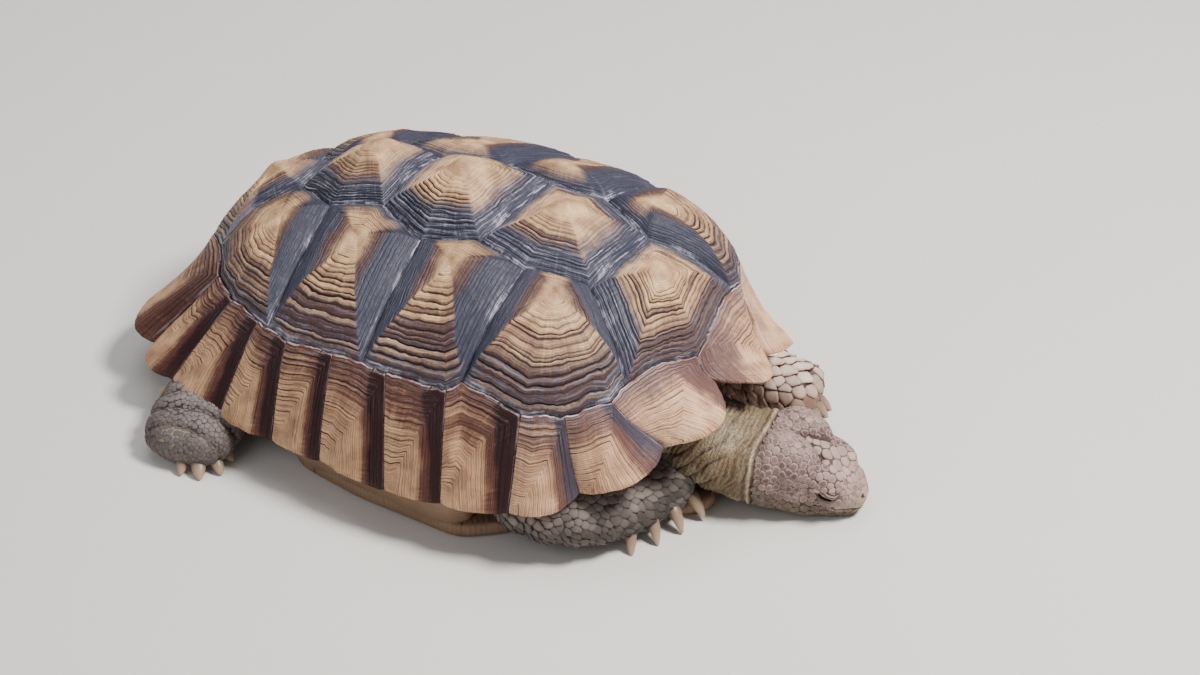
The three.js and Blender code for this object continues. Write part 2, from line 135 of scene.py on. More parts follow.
@dataclass(frozen=True)
class Grain:
    """Smooth random field: random lattice values blended with 3t^2 - 2t^3 weights."""

    seed: int
    size: float

    def at(self, points: Array) -> Array:
        """The field at points of two or three coordinates, from -1 to 1."""
        q = points / self.size
        cell = np.floor(q)
        f = q - cell
        w = f * f * (3 - 2 * f)
        cell = cell.astype(np.int64)
        total = np.zeros(points.shape[:-1])
        for corner in np.ndindex(*(2,) * points.shape[-1]):
            share = np.prod(np.where(np.array(corner) == 1, w, 1 - w), axis=-1)
            total += share * self._value(cell + np.array(corner))
        return total

    def _value(self, cells: Array) -> Array:
        """Random number of each lattice point, hashed from its whole-number place."""
        primes = np.array([73856093, 19349663, 83492791], dtype=np.int64)[:cells.shape[-1]]
        n = (cells * primes).sum(axis=-1) + self.seed * 7919
        n = ((n ^ (n >> 13)) * 1274126177) & 0x7FFFFFFF
        n = ((n ^ (n >> 15)) * 668265263) & 0x7FFFFFFF
        return (n ^ (n >> 14)) / 0x3FFFFFFF - 1.0


@dataclass(frozen=True)
class HeadFrame:
    """The head's own axes: x along the head to the snout, y to its left, z over its crown."""

    nape: tuple[float, float, float] = (243.0, 24.0, 44.0)
    yaw: float = 15.0
    droop: float = 20.0

    def axes(self) -> Array:
        """The three axes as rows: turned left by the yaw, then nose down by the droop."""
        y, d = math.radians(self.yaw), math.radians(self.droop)
        ahead = (math.cos(y) * math.cos(d), math.sin(y) * math.cos(d), -math.sin(d))
        left = (-math.sin(y), math.cos(y), 0.0)
        return np.array([ahead, left, np.cross(ahead, left)])

    def out(self, local: Array) -> Array:
        """Body places of points given in the head's axes."""
        return local @ self.axes() + self.nape

    def local(self, points: Array) -> Array:
        """Places in the head's axes of body points."""
        return (points - self.nape) @ self.axes().T


HEAD = HeadFrame()


# ---------------------------------------------------------------- meshes


@dataclass
class Surface:
    """Points and faces gathered for one piece, with values carried by each point."""

    points: list[Array] = field(default_factory=list)
    quads: list[Array] = field(default_factory=list)
    tris: list[Array] = field(default_factory=list)
    values: dict[str, list[Array]] = field(default_factory=dict)
    count: int = 0

    def add(self, points: Array, **values: Array) -> Array:
        """Adds points of any array shape and returns their numbers in that shape."""
        flat = points.reshape(-1, 3)
        numbers = self.count + np.arange(len(flat)).reshape(points.shape[:-1])
        self.points.append(flat)
        for name, value in values.items():
            self.values.setdefault(name, []).append(value.reshape(len(flat), -1))
        self.count += len(flat)
        return numbers

    def grid(self, n: Array, closed: bool = False) -> None:
        """Joins a grid of point numbers with quads; closed also joins its last column to its first."""
        m = np.concatenate([n, n[:, :1]], axis=1) if closed else n
        self.quads.append(np.stack([m[:-1, :-1], m[1:, :-1], m[1:, 1:], m[:-1, 1:]], axis=-1).reshape(-1, 4))

    def fan(self, centre: Array, ring: Array, closed: bool = True) -> None:
        """Joins a ring of point numbers to one centre with triangles; closed also joins its ends."""
        ends = np.roll(ring, -1) if closed else ring[1:]
        starts = ring if closed else ring[:-1]
        self.tris.append(np.stack([np.full(len(starts), int(centre)), starts, ends], axis=-1))

    def cap(self, ring: Array, point: Array, **values: Array) -> None:
        """Closes a ring of point numbers with triangles to one new point."""
        self.fan(self.add(point, **values)[0], ring)

    def arrays(self) -> tuple[Array, Array, Array]:
        """All points, quads and triangles as three arrays."""
        quads = np.concatenate(self.quads) if self.quads else np.zeros((0, 4), int)
        tris = np.concatenate(self.tris) if self.tris else np.zeros((0, 3), int)
        return np.concatenate(self.points), quads, tris


def face_out(points: Array, quads: Array, tris: Array) -> tuple[Array, Array]:
    """Turns all faces over where the signed volume they close is negative."""
    soup = np.concatenate([quads[:, [0, 1, 2]], quads[:, [0, 2, 3]], tris])
    a, b, c = (points[soup[:, k]] for k in range(3))
    if np.einsum("ij,ij->i", a, np.cross(b, c)).sum() < 0:
        return quads[:, ::-1], tris[:, ::-1]
    return quads, tris


def make_piece(
    name: str,
    surface: Surface,
    material: bpy.types.Material,
    slot: str,
    nodes: tuple[str, ...] = (),
    turn_out: bool = True,
    patch: Array | None = None,
) -> bpy.types.Object:
    """Writes a surface to a mesh object that rides on the body.

    Args:
        name: Name of the piece.
        surface: Its points in millimetres, faces and point values.
        material: Its finish.
        slot: Name of a material slot for the piece; not used.
        nodes: Solids that the piece stands for.
        turn_out: Whether the faces are turned so that the closed mesh faces out.
        patch: Place of each point on the coat's bake map, for coat pieces.

    Returns:
        The new object.
    """
    points, quads, tris = surface.arrays()
    if turn_out:
        quads, tris = face_out(points, quads, tris)
    mesh = bpy.data.meshes.new(name)
    mesh.vertices.add(len(points))
    mesh.vertices.foreach_set("co", (points * MM).astype(np.float32).ravel())
    loops = np.concatenate([quads.ravel(), tris.ravel()]).astype(np.int32)
    starts = np.concatenate([np.arange(len(quads)) * 4, len(quads) * 4 + np.arange(len(tris)) * 3])
    mesh.loops.add(len(loops))
    mesh.loops.foreach_set("vertex_index", loops)
    mesh.polygons.add(len(starts))
    mesh.polygons.foreach_set("loop_start", starts.astype(np.int32))
    mesh.polygons.foreach_set("use_smooth", np.ones(len(starts), dtype=bool))
    for key, parts in surface.values.items():
        value = np.concatenate(parts).astype(np.float32)
        kind = {1: "FLOAT", 3: "FLOAT_VECTOR", 4: "FLOAT_COLOR"}[value.shape[1]]
        store = mesh.attributes.new(key, kind, "POINT")
        store.data.foreach_set({"FLOAT": "value", "FLOAT_VECTOR": "vector"}.get(kind, "color"), value.ravel())
    if patch is not None:
        layer = mesh.uv_layers.new(name="OFBake")
        layer.uv.foreach_set("vector", patch[loops].astype(np.float32).ravel())
    mesh.update(calc_edges=True)
    mesh.materials.append(material)
    piece = bpy.data.objects.new(name, mesh)
    bpy.context.scene.collection.objects.link(piece)
    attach(piece, BODY)
    if nodes:
        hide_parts(*nodes)
    log.info("%s: %d points, %d triangles", name, len(points), 2 * len(quads) + len(tris))
    return piece


# ---------------------------------------------------------------- finishes


def linear(hex_colour: str) -> tuple[float, float, float, float]:
    """Turns an sRGB hex colour such as #c8a57d to the linear one that Blender shades with."""
    parts = [int(hex_colour[k:k + 2], 16) / 255 for k in (1, 3, 5)]
    return (*(v / 12.92 if v <= 0.04045 else ((v + 0.055) / 1.055) ** 2.4 for v in parts), 1.0)


def add_node(
    tree: bpy.types.NodeTree, kind: str, *values: object, clamp: bool = False, out: int | str = 0,
    **named: object,
) -> bpy.types.NodeSocket | None:
    """Adds a shader node with its settings and links.

    Args:
        tree: The material's nodes.
        kind: The node's type, without the word ShaderNode. After a space comes its operation, or a Mix
            node's blend type, a MapRange node's interpolation or an Attribute node's attribute.
        values: What its sockets take in turn: a socket to link, a hex colour, or a value.
        clamp: Whether a Math node keeps its result from 0 to 1.
        out: Which output is returned.
        named: What sockets take by name, with _ for a space.

    Returns:
        The output, or None for a node without one.
    """
    kind, _, choice = kind.partition(" ")
    node = tree.nodes.new("ShaderNode" + kind)
    places = range(len(values))
    if kind == "Mix":
        node.data_type = "RGBA"
        places, out = (0, 6, 7), 2  # the factor and the two colours; the mixed colour
    if choice:
        setting = {"Mix": "blend_type", "MapRange": "interpolation_type", "Attribute": "attribute_name"}
        setattr(node, setting.get(kind, "operation"), choice)
    if clamp:
        node.use_clamp = True
    by_name = ((name.replace("_", " "), value) for name, value in named.items())
    for key, value in (*zip(places, values), *by_name):
        if isinstance(value, bpy.types.NodeSocket):
            tree.links.new(value, node.inputs[key])
        else:
            node.inputs[key].default_value = linear(value) if isinstance(value, str) else value
    return node.outputs[out] if len(node.outputs) else None


@dataclass(frozen=True)
class Finish:
    """A named material, made from what each kind of finish gives its shader."""

    name: str

    def shade(self, add: Callable) -> dict[str, object]:
        """What the Principled shader takes, by socket name with _ for a space; add makes the nodes."""
        raise NotImplementedError

    def make(self) -> bpy.types.Material:
        """Builds the material."""
        material = bpy.data.materials.new(self.name)
        material.use_nodes = True
        material.node_tree.nodes.clear()
        add = partial(add_node, material.node_tree)
        add("OutputMaterial", add("BsdfPrincipled", **self.shade(add)))
        return material


@dataclass(frozen=True)
class ScuteHorn(Finish):
    """Keratin scute grown in yearly ridges, worn dry: satin, waxy in the pale parts, duller in the dark.

    The point colour "pigment" holds brown, dark and groove, its alpha chalk; the point vector "growth"
    holds the direction from the growth centre and the share of the way to the seam.
    """

    cream: str = "#e0b98a"
    tan: str = "#a37b5b"
    brown: str = "#42292a"
    dark: str = "#2d2e40"
    chalk: str = "#b3b1c1"
    groove: str = "#140b0c"
    rings: float = 46.0  # fine growth lines from centre to seam, about 1.6 mm apart
    shine: float = 0.4

    def shade(self, add: Callable) -> dict[str, object]:
        """Horn with growth lines and fibres, browner, darker and dustier where its pigment says."""
        place = add("TexCoord", out="Object")
        growth = add("Attribute growth", out="Vector")
        pigment = add("Attribute pigment")
        brown, dark, groove = add("SeparateColor", pigment).node.outputs
        # patches of 14 mm and flecks of 2.5 mm
        patch = add("TexNoise", Vector=place, Scale=72.0, Detail=3.0)
        fleck = add("TexNoise", Vector=place, Scale=400.0, Detail=2.0)
        # scratches and fibres run outward from the centre, about 1.5 mm apart at the seam
        stretched = add("VectorMath MULTIPLY", growth, (26.0, 26.0, 1.6))
        fibre = add("TexNoise", Vector=stretched, Scale=1.0, Detail=2.0, Roughness=0.6)
        phase = add("Math MULTIPLY", add("SeparateXYZ", growth, out="Z"), self.rings)
        waver = add("Math MULTIPLY_ADD", patch, 2.2, phase)
        wave = add("Math SINE", add("Math MULTIPLY", waver, 2 * math.pi))
        uneven = add("Math MULTIPLY", add("MapRange", wave, -0.1, 1.0), fleck)
        colour = add("Mix", add("MapRange", patch, 0.32, 0.66), self.cream, self.tan)
        lean = add("Math MULTIPLY_ADD", fibre, 0.5, -0.25)
        for amount, tint, push, low, high in (
            (brown, self.brown, 1.0, 0.06, 0.94), (dark, self.dark, 0.7, 0.16, 0.74)
        ):
            pushed = add("Math MULTIPLY_ADD", lean, push, amount)
            colour = add("Mix", add("MapRange SMOOTHSTEP", pushed, low, high), colour, tint)
        # dust lies in streaks about 1.4 mm wide and 25 mm long that follow the rings
        flat = add("VectorMath MULTIPLY", growth, (2.4, 2.4, 60.0))
        band = add("TexNoise", Vector=flat, Scale=1.0, Detail=3.0, Roughness=0.6)
        both = add("Math MULTIPLY_ADD", fibre, 0.32, band)
        streak = add("MapRange SMOOTHSTEP", both, 0.62, 0.84, 0.06, 1.6)
        dusty = add("Math MULTIPLY", pigment.node.outputs["Alpha"], streak, clamp=True)
        colour = add("Mix", dusty, colour, self.chalk)
        colour = add("Mix MULTIPLY", 1.0, colour, add("MapRange", uneven, 0.0, 0.62, 1.06, 0.6))
        cut = add("MapRange SMOOTHSTEP", groove, 0.05, 0.72, 0.0, 0.93)
        height = add("Math MULTIPLY_ADD", uneven, -0.9, add("Math ADD", fleck, fibre))
        return dict(
            Base_Color=add("Mix", cut, colour, self.groove),
            Roughness=add("MapRange", fleck, 0.3, 0.7, 0.5, 0.68), IOR=1.54, Specular_IOR_Level=self.shine,
            Normal=add("Bump", Strength=0.55, Distance=0.0005, Height=height))


CARAPACE_HORN = ScuteHorn("Carapace_horn_grown_in_ridges")
RIM_HORN = ScuteHorn(
    "Rim_horn_amber", cream="#d3a880", tan="#a67f62", brown="#5a362d", dark="#2a1013", chalk="#a89a9a",
    groove="#24130e", rings=36.0, shine=0.2)
FRONT_RIM_HORN = ScuteHorn(
    "Front_rim_horn_bleached", cream="#dfb48e", tan="#b78a68", brown="#65443c", dark="#3b3442",
    chalk="#c6bcc2", groove="#2e1b1b", rings=36.0)


@dataclass(frozen=True)
class SkinHide(Finish):
    """Dry, granular reptile skin dusted with soil: matt, with painted shade in its creases and where it faces
    down.

    The point colour "zone" holds shares of head, neck and legs, its alpha the painted shade in creases, the
    mouth line and the nostrils; the point vector "tone" holds the horny snout, the painted shade where a
    place looks down, and the pale crest behind the head.
    """

    name: str = "Skin_dry_granular"
    trunk: str = "#5d4c39"
    head: str = "#5f4a44"
    neck: str = "#816e53"
    # painted shade: the under colour goes where the skin looks down and into the neck's wrinkles
    under: str = "#5a4e38"
    leg: str = "#4b3f39"
    # painted shade in creases, wrinkle troughs, the mouth line and the nostrils
    crease_shade: str = "#2c2119"
    snout: str = "#a8957f"
    dust: str = "#b0a38c"
    crest: str = "#d6c6a6"

    def shade(self, add: Callable) -> dict[str, object]:
        """Granular skin in each region's colour with dust, and painted shade on downward skin, in wrinkles
        and creases.
        """
        place = add("TexCoord", out="Object")
        zone = add("Attribute zone")
        head, neck, leg = add("SeparateColor", zone).node.outputs
        snout, downward_shade, crest = add("SeparateXYZ", add("Attribute tone", out="Vector")).node.outputs
        # granules of about 1.6 mm, patches of 20 mm
        grain = add("TexVoronoi", Vector=place, Scale=620.0, Randomness=0.9)
        patch = add("TexNoise", Vector=place, Scale=50.0, Detail=4.0)
        colour = add("Mix", head, self.trunk, self.head)
        for share, tint in (
            (neck, self.neck), (leg, self.leg), (snout, self.snout),
            # painted shade where the skin looks down
            (add("Math MULTIPLY", downward_shade, 0.75, clamp=True), self.under),
            (add("MapRange SMOOTHSTEP", patch, 0.42, 0.7, 0.0, 0.55), self.dust), (crest, self.crest),
        ):
            colour = add("Mix", share, colour, tint)
        colour = add("Mix MULTIPLY", 1.0, colour, add("MapRange", grain, 0.35, 0.75, 1.08, 0.72))
        # painted shade: wrinkle lines take the under colour, then creases, the mouth line and nostrils the
        # crease colour
        wrinkle = self.wrinkles(add, place, neck)
        crease_shade = add("Math MULTIPLY", zone.node.outputs["Alpha"], 0.85, clamp=True)
        colour = add("Mix", crease_shade, add("Mix", wrinkle, colour, self.under), self.crease_shade)
        low = add("Math MULTIPLY", add("Math MULTIPLY_ADD", wrinkle, 1.6, grain), -1.0)
        bump = add("Bump", Strength=0.7, Distance=0.0007, Height=low)
        return dict(Base_Color=colour, Roughness=0.78, IOR=1.45, Normal=bump)

    def wrinkles(self, add: Callable, place: bpy.types.NodeSocket, share: bpy.types.NodeSocket
                 ) -> bpy.types.NodeSocket:
        """Fine broken wrinkles round the neck: noise drawn out across it, painted shade where it passes its
        middle.

        Args:
            add: Adds a node to the material.
            place: Object coordinates.
            share: How far a point belongs to the neck.

        Returns:
            The depth of the wrinkles, which also sets their painted shade.
        """
        # about 1.6 mm apart along the neck and 10 mm long round it
        scales = (350.0, 56.0, 56.0)
        drawn = add("CombineXYZ", *(
            add("VectorMath DOT_PRODUCT", place, tuple(axis * scale), out="Value")
            for axis, scale in zip(HEAD.axes(), scales)))
        noise = add("TexNoise", Vector=drawn, Scale=1.0, Detail=2.0, Roughness=0.5)
        gap = add("Math ABSOLUTE", add("Math SUBTRACT", noise, 0.5))
        return add("Math MULTIPLY", add("MapRange SMOOTHSTEP", gap, 0.0, 0.05, 0.5, 0.0), share, clamp=True)


@dataclass(frozen=True)
class ScaleHorn(Finish):
    """Horny scales worn pale on their tops, with soil left in the gaps: matt with a faint wax shine.

    The point colour "scale" holds the height over the rim, a random number and the paleness, partly painted
    light; its alpha is how far soil and painted shade darken the scale.
    """

    rim: str
    side: str
    top: str
    pale: str
    earth_and_shade: str

    def shade(self, add: Callable) -> dict[str, object]:
        """Horn from rim over side to top, paler by chance, wear and painted light, darkened by soil and
        painted shade.
        """
        place = add("TexCoord", out="Object")
        marks = add("Attribute scale")
        lift, chance, paleness = add("SeparateColor", marks).node.outputs
        # blotches of 4 mm and grit of 0.7 mm
        blotch = add("TexNoise", Vector=place, Scale=260.0, Detail=3.0)
        grit = add("TexNoise", Vector=place, Scale=1400.0, Detail=2.0)
        share = add("Math ADD", add("Math MULTIPLY_ADD", chance, 0.5, -0.25), paleness, clamp=True)
        top = add("Mix", share, self.top, self.pale)
        side = add("Mix", add("Math MULTIPLY", share, 0.6), self.side, self.pale)
        high = add("Math ADD", add("Math MULTIPLY_ADD", blotch, 0.9, -0.45), lift, clamp=True)
        face = add("Mix", add("MapRange SMOOTHSTEP", high, 0.45, 1.0), side, top)
        # the earth colour stands for soil and painted shade
        soiled = add("Math MULTIPLY", blotch, marks.node.outputs["Alpha"])
        face = add("Mix", add("Math MULTIPLY", soiled, 1.7, clamp=True), face, self.earth_and_shade)
        colour = add("Mix", add("MapRange SMOOTHSTEP", high, 0.0, 0.34), self.rim, face)
        colour = add("Mix MULTIPLY", 1.0, colour, add("MapRange", grit, 0.3, 0.7, 0.86, 1.08))
        bump = add("Bump", Strength=0.4, Distance=0.0003, Height=grit)
        return dict(Base_Color=colour, Roughness=0.66, IOR=1.5, Normal=bump)


HEAD_PLATE = ScaleHorn("Head_plates_worn_horn", "#38292a", "#9c8480", "#57423f", "#c2a49a", "#574b3c")
LID_SKIN = ScaleHorn("Eyelid_skin_wrinkled", "#33241f", "#80675f", "#937a73", "#b89f97", "#4a3c34")
# painted shade: the near foreleg's horn is a darkened copy of the foreleg horn
NEAR_FORELEG_SHADED = ScaleHorn("Foreleg_scales_horn_painted_shade", "#120d0b", "#3b322d", "#332b27", "#8d8078", "#2e2621")
# painted light: the far foreleg's pale horn is partly sunlight painted in
FAR_FORELEG_LIT = ScaleHorn("Foreleg_scales_pale_horn_painted_light", "#44291f", "#9a7564", "#8c6759", "#e9d5c5", "#684537")
HINDLEG_SCALE = ScaleHorn("Hindleg_scales_dusty_horn", "#352c29", "#5e5350", "#534947", "#857b7b", "#443a34")


@dataclass(frozen=True)
class ClawHorn(Finish):
    """Thick keratin claw, streaked along its length: tan, browner at the root, slightly glossy."""

    name: str = "Claw_horn_streaked"
    root: str = "#523e33"
    tip: str = "#aa9078"

    def shade(self, add: Callable) -> dict[str, object]:
        """Horn that goes from root to tip along the point vector "scale", with streaks of about 1 mm."""
        along = add("SeparateXYZ", add("Attribute scale", out="Vector"))
        streak = add("TexNoise", Vector=add("TexCoord", out="Object"), Scale=900.0, Detail=2.0)
        share = add("Math ADD", add("Math MULTIPLY_ADD", streak, 0.5, -0.2), along, clamp=True)
        bump = add("Bump", Strength=0.3, Distance=0.0002, Height=streak)
        return dict(Base_Color=add("Mix", share, self.root, self.tip), Roughness=0.42, IOR=1.54, Normal=bump)


@dataclass(frozen=True)
class EyeGlass(Finish):
    """Wet, near-black brown eye: dark with a sharp highlight, its iris a shade lighter in fine flecks."""

    name: str = "Eye_wet_dark"
    dark: str = "#070403"
    fleck: str = "#1a0f09"

    def shade(self, add: Callable) -> dict[str, object]:
        """Wet surface over flecks of 0.8 mm."""
        fleck = add("TexNoise", Vector=add("TexCoord", out="Object"), Scale=1200.0)
        colour = add("Mix", fleck, self.dark, self.fleck)
        return dict(Base_Color=colour, Roughness=0.12, IOR=1.34, Specular_IOR_Level=0.3)


@dataclass(frozen=True)
class PlastronHorn(Finish):
    """Smooth worn belly horn: straw brown with fine growth lines beside dark seams, satin."""

    name: str = "Belly_horn_worn"
    straw: str = "#92765a"
    brown: str = "#6c513e"
    seam: str = "#38281c"

    def shade(self, add: Callable) -> dict[str, object]:
        """Horn with growth lines 3.5 mm apart, which waver by about 2 mm and follow the seams."""
        gap = add("Attribute seam", out="Fac")
        patch = add("TexNoise", Vector=add("TexCoord", out="Object"), Scale=32.0, Detail=4.0)
        phase = add("Math MULTIPLY_ADD", patch, 9.0, gap)
        wave = add("Math SINE", add("Math MULTIPLY", phase, 2 * math.pi / 3.5))
        colour = add("Mix", patch, self.straw, self.brown)
        colour = add("Mix", add("MapRange", wave, 0.0, 1.0, 0.0, 0.4), colour, self.brown)
        colour = add("Mix", add("MapRange SMOOTHSTEP", gap, 1.8, 0.2), colour, self.seam)
        bump = add("Bump", Strength=0.3, Distance=0.0004, Height=wave)
        return dict(Base_Color=colour, Roughness=0.55, IOR=1.54, Normal=bump)


@dataclass(frozen=True)
class PaperFloor(Finish):
    """Matt warm-white paper, so that only soft shadows show on it."""

    name: str = "Studio_paper_matt"
    colour: str = "#d9d6d1"

    def shade(self, add: Callable) -> dict[str, object]:
        """Paper that varies by a few hundredths over about 0.1 m."""
        tooth = add("TexNoise", Vector=add("TexCoord", out="Object"), Scale=9.0, Detail=3.0)
        shade = add("MapRange", tooth, 0.0, 1.0, 0.97, 1.0)
        return dict(Base_Color=add("Mix MULTIPLY", 1.0, self.colour, shade), Roughness=0.9)


# ---------------------------------------------------------------- carapace


@dataclass(frozen=True)
class Dome:
    """The carapace at the level of its seams, as a height over the plan.

    Height: top - drop * (distance / reach) ^ power, less a dip towards the rump, with drop, power
    and squareness of the plan outline blended from front over side to rear.
    """

    front: float = 245.0
    rear: float = 270.0
    side: float = 191.0
    square_front: float = 2.9
    square_rear: float = 3.0
    turn: float = 0.6
    top: float = 190.0
    drop: tuple[float, float, float] = (170.0, 98.0, 150.0)
    power: tuple[float, float, float] = (5.0, 1.82, 2.26)
    dip: float = 10.0
    dip_reach: float = 1.2
    step: float = 0.5
    wander: float = 0.8

    def around(self, plan: Array, values: tuple[float, float, float]) -> Array:
        """Blends a front, a side and a rear value by the direction of plan points."""
        c = plan[..., 0] / np.maximum(np.hypot(plan[..., 0], plan[..., 1]), 1e-6)
        f, r = np.maximum(c, 0) ** 2, np.maximum(-c, 0) ** 2
        return f * values[0] + (1 - f - r) * values[1] + r * values[2]

    def share(self, plan: Array) -> Array:
        """How far plan points lie out from the middle, 1 being the outline."""
        x, y = plan[..., 0], plan[..., 1]
        d = np.maximum(np.hypot(x, y), 1e-6)
        t = smooth_step(0, 1, 0.5 + x / d / self.turn)
        n = blend(self.square_rear, self.square_front, t)
        a = np.where(x > 0, self.front, self.rear)
        return d * (np.abs(x / d / a) ** n + np.abs(y / d / self.side) ** n) ** (1 / n)

    def height(self, plan: Array) -> Array:
        """Height of the dome over plan points."""
        x, y = plan[..., 0], plan[..., 1]
        rho = self.share(plan)
        fall = self.around(plan, self.drop) * rho ** self.around(plan, self.power)
        slant = np.where(x < 0, (2 * x * y / np.maximum(x * x + y * y, 1e-6)) ** 2, 0.0)
        hump = np.clip(rho * (self.dip_reach - rho) * 4 / self.dip_reach**2, 0, 1)
        hump = hump * smooth_step(0.0, 0.22, rho)
        return self.top - fall - self.dip * slant * hump

    def on(self, plan: Array) -> Array:
        """Points of the dome over plan points."""
        return np.concatenate([plan, self.height(plan)[..., None]], axis=-1)

    def normal(self, plan: Array) -> Array:
        """Outward directions of the dome over plan points, from height differences."""
        dx, dy = np.array([self.step, 0.0]), np.array([0.0, self.step])
        gx = (self.height(plan - dx) - self.height(plan + dx)) / (2 * self.step)
        gy = (self.height(plan - dy) - self.height(plan + dy)) / (2 * self.step)
        return unit(np.stack([gx, gy, np.ones_like(gx)], axis=-1))

    def drift(self, plan: Array) -> Array:
        """Moves plan points by a shared random field, so that seams run ragged and still meet."""
        wide = np.stack([Grain(11, 12.0).at(plan), Grain(12, 12.0).at(plan)], axis=-1)
        fine = np.stack([Grain(13, 3.5).at(plan), Grain(14, 3.5).at(plan)], axis=-1)
        return plan + self.wander * (1.3 * wide + 0.55 * fine)


DOME = Dome()
SEAM_SEGMENT = 22.0
UNDER = 4.5  # horn and bone under a seam

CORNER = {
    "nape": (203, 0), "napeSide": (186, 71), "shoulder": (184, 87), "v12": (131, 38), "v2side": (83, 54),
    "v23": (36, 46), "v3side": (-10, 57), "v34": (-61, 37), "v4side": (-105, 46), "v45": (-154, 22),
    "v5waist": (-188, 46), "v5side": (-190, 81), "rumpSide": (-228, 44), "rump": (-236, 0),
    "m23": (164, 117), "m34": (136, 135), "c12": (86, 139), "m45": (77, 146), "m56": (26, 151),
    "c23": (3, 151), "m67": (-23, 153), "m78": (-68, 151), "c34": (-92, 144), "m89": (-104, 141),
    "m910": (-139, 128), "m1011": (-168, 109),
}


def corners(names: str, sign: int) -> Array:
    """Plan places of named seam corners on the left (1) or right (-1) half."""
    return np.array([(CORNER[name][0], CORNER[name][1] * sign) for name in names.split()], dtype=float)


@dataclass(frozen=True)
class Tint:
    """Pigment of one facet of a scute: amounts at places from the growth centre (0) to the seam (1)."""

    brown: Curve
    dark: Curve
    groove: Curve
    chalk: Curve

    def at(self, r: Array) -> Array:
        """Brown, dark, groove and chalk at places r, along a new last axis."""
        keys = (self.brown, self.dark, self.groove, self.chalk)
        return np.stack([np.interp(r, *zip(*key)) for key in keys], axis=-1)


class Facet(Enum):
    """The faces of a scute's blunt pyramid, by where they look."""

    FOOT = Tint(
        ((0, 0), (0.16, 0.08), (0.3, 0.34), (0.5, 0.58), (0.7, 0.82), (0.85, 1), (1, 1)),
        ((0, 0), (0.6, 0), (0.8, 0.24), (0.95, 0.42), (1, 0.6)),
        ((0, 0), (0.1, 0.35), (0.26, 0.85), (0.45, 1), (1, 1)),
        ((0, 0), (0.5, 0), (0.72, 0.2), (0.92, 0.3), (0.975, 0.4), (1, 0.8)))
    FLANK = Tint(
        ((0, 0), (0.14, 0.15), (0.3, 0.7), (0.45, 0.9), (0.6, 0.6), (1, 0.3)),
        ((0, 0), (0.34, 0.02), (0.46, 0.4), (0.6, 0.85), (1, 1)),
        ((0, 0), (0.2, 0.2), (1, 0.45)),
        ((0, 0), (0.45, 0.03), (0.65, 0.1), (0.93, 0.14), (0.972, 0.5), (1, 1)))
    CROWN = Tint(
        ((0, 0), (0.3, 0.1), (0.8, 0.5), (1, 0.5)),
        ((0, 0), (0.5, 0.05), (0.78, 0.45), (1, 0.85)),
        ((0, 0), (0.3, 0.3), (1, 0.6)),
        ((0, 0), (0.6, 0.15), (0.93, 0.35), (1, 1)))
    SIDE = Tint(
        ((0, 0), (0.22, 0.12), (0.42, 0.5), (0.6, 0.7), (1, 0.5)),
        ((0, 0), (0.46, 0.04), (0.6, 0.45), (0.74, 0.9), (1, 1)),
        ((0, 0), (0.12, 0.35), (0.4, 0.85), (1, 1)),
        ((0, 0), (0.5, 0.0), (0.66, 0.45), (0.95, 0.6), (1, 1)))
    END = Tint(
        ((0, 0), (0.25, 0.1), (0.5, 0.32), (0.75, 0.45), (1, 0.5)),
        ((0, 0), (0.42, 0.05), (0.6, 0.36), (0.8, 0.72), (1, 0.9)),
        ((0, 0), (0.25, 0.3), (1, 0.6)),
        ((0, 0), (0.4, 0.1), (0.6, 0.4), (0.95, 0.6), (1, 1)))
    REAR = Tint(
        ((0, 0), (0.25, 0.2), (0.5, 0.65), (1, 0.95)),
        ((0, 0), (0.5, 0.05), (0.8, 0.4), (1, 0.7)),
        ((0, 0), (0.3, 0.35), (1, 0.7)),
        ((0, 0), (0.75, 0.1), (0.95, 0.3), (1, 0.95)))


@dataclass(frozen=True)
class GrowthRows:
    """Rows from a scute's oldest plate to its seam, six to a yearly ridge.

    A ridge starts in a groove, rises quickly and falls slowly to the next one; gaps and depths are random,
    with a few deep grooves among many faint ones.
    """

    seed: int
    ridges: int = 16
    start: float = 0.15
    end: float = 0.975
    places: tuple[float, ...] = (0.0, 0.1, 0.2, 0.46, 0.76, 0.92)
    heights: tuple[float, ...] = (-1.0, -0.85, 0.15, 0.6, 0.4, 0.05)
    grooves: tuple[float, ...] = (1.0, 0.95, 0.16, 0.0, 0.0, 0.12)
    stripes: tuple[float, ...] = (0.0, 0.0, 0.35, 1.0, 0.3, 0.0)
    shades: tuple[float, ...] = (1.0, 0.7, -0.5, -1.0, -0.2, 0.6)

    def rows(self) -> tuple[Array, Array, Array, Array, Array]:
        """Place, height, groove, pale stripe and shade of each row."""
        rng = np.random.default_rng(self.seed)
        gaps = rng.uniform(0.55, 1.45, self.ridges)
        gaps *= (self.end - self.start) / gaps.sum()
        starts = self.start + np.concatenate([[0.0], np.cumsum(gaps)[:-1]])
        deep = rng.uniform(0.28, 0.55, self.ridges)
        deep[rng.random(self.ridges) < 0.4] += 0.45
        inner = np.array([0.035, 0.07, 0.105, 0.13])
        outer = np.array([0.986, 1.0])
        place = np.concatenate([inner, (starts[:, None] + gaps[:, None] * self.places).ravel(), outer])

        def spread(values: tuple[float, ...], ends: float) -> Array:
            """Repeats a ridge's values for all ridges, scaled by their depth."""
            body = (deep[:, None] * values).ravel()
            return np.concatenate([np.zeros(4), body, np.full(2, ends)])

        keys = (self.heights, self.grooves, self.stripes, self.shades)
        height, groove, stripe, shade = (spread(values, 0.0) for values in keys)
        years = np.repeat(rng.normal(0.0, 0.4, self.ridges), len(self.places))
        return place, height, groove, stripe, shade + np.concatenate([np.zeros(4), years, np.zeros(2)])


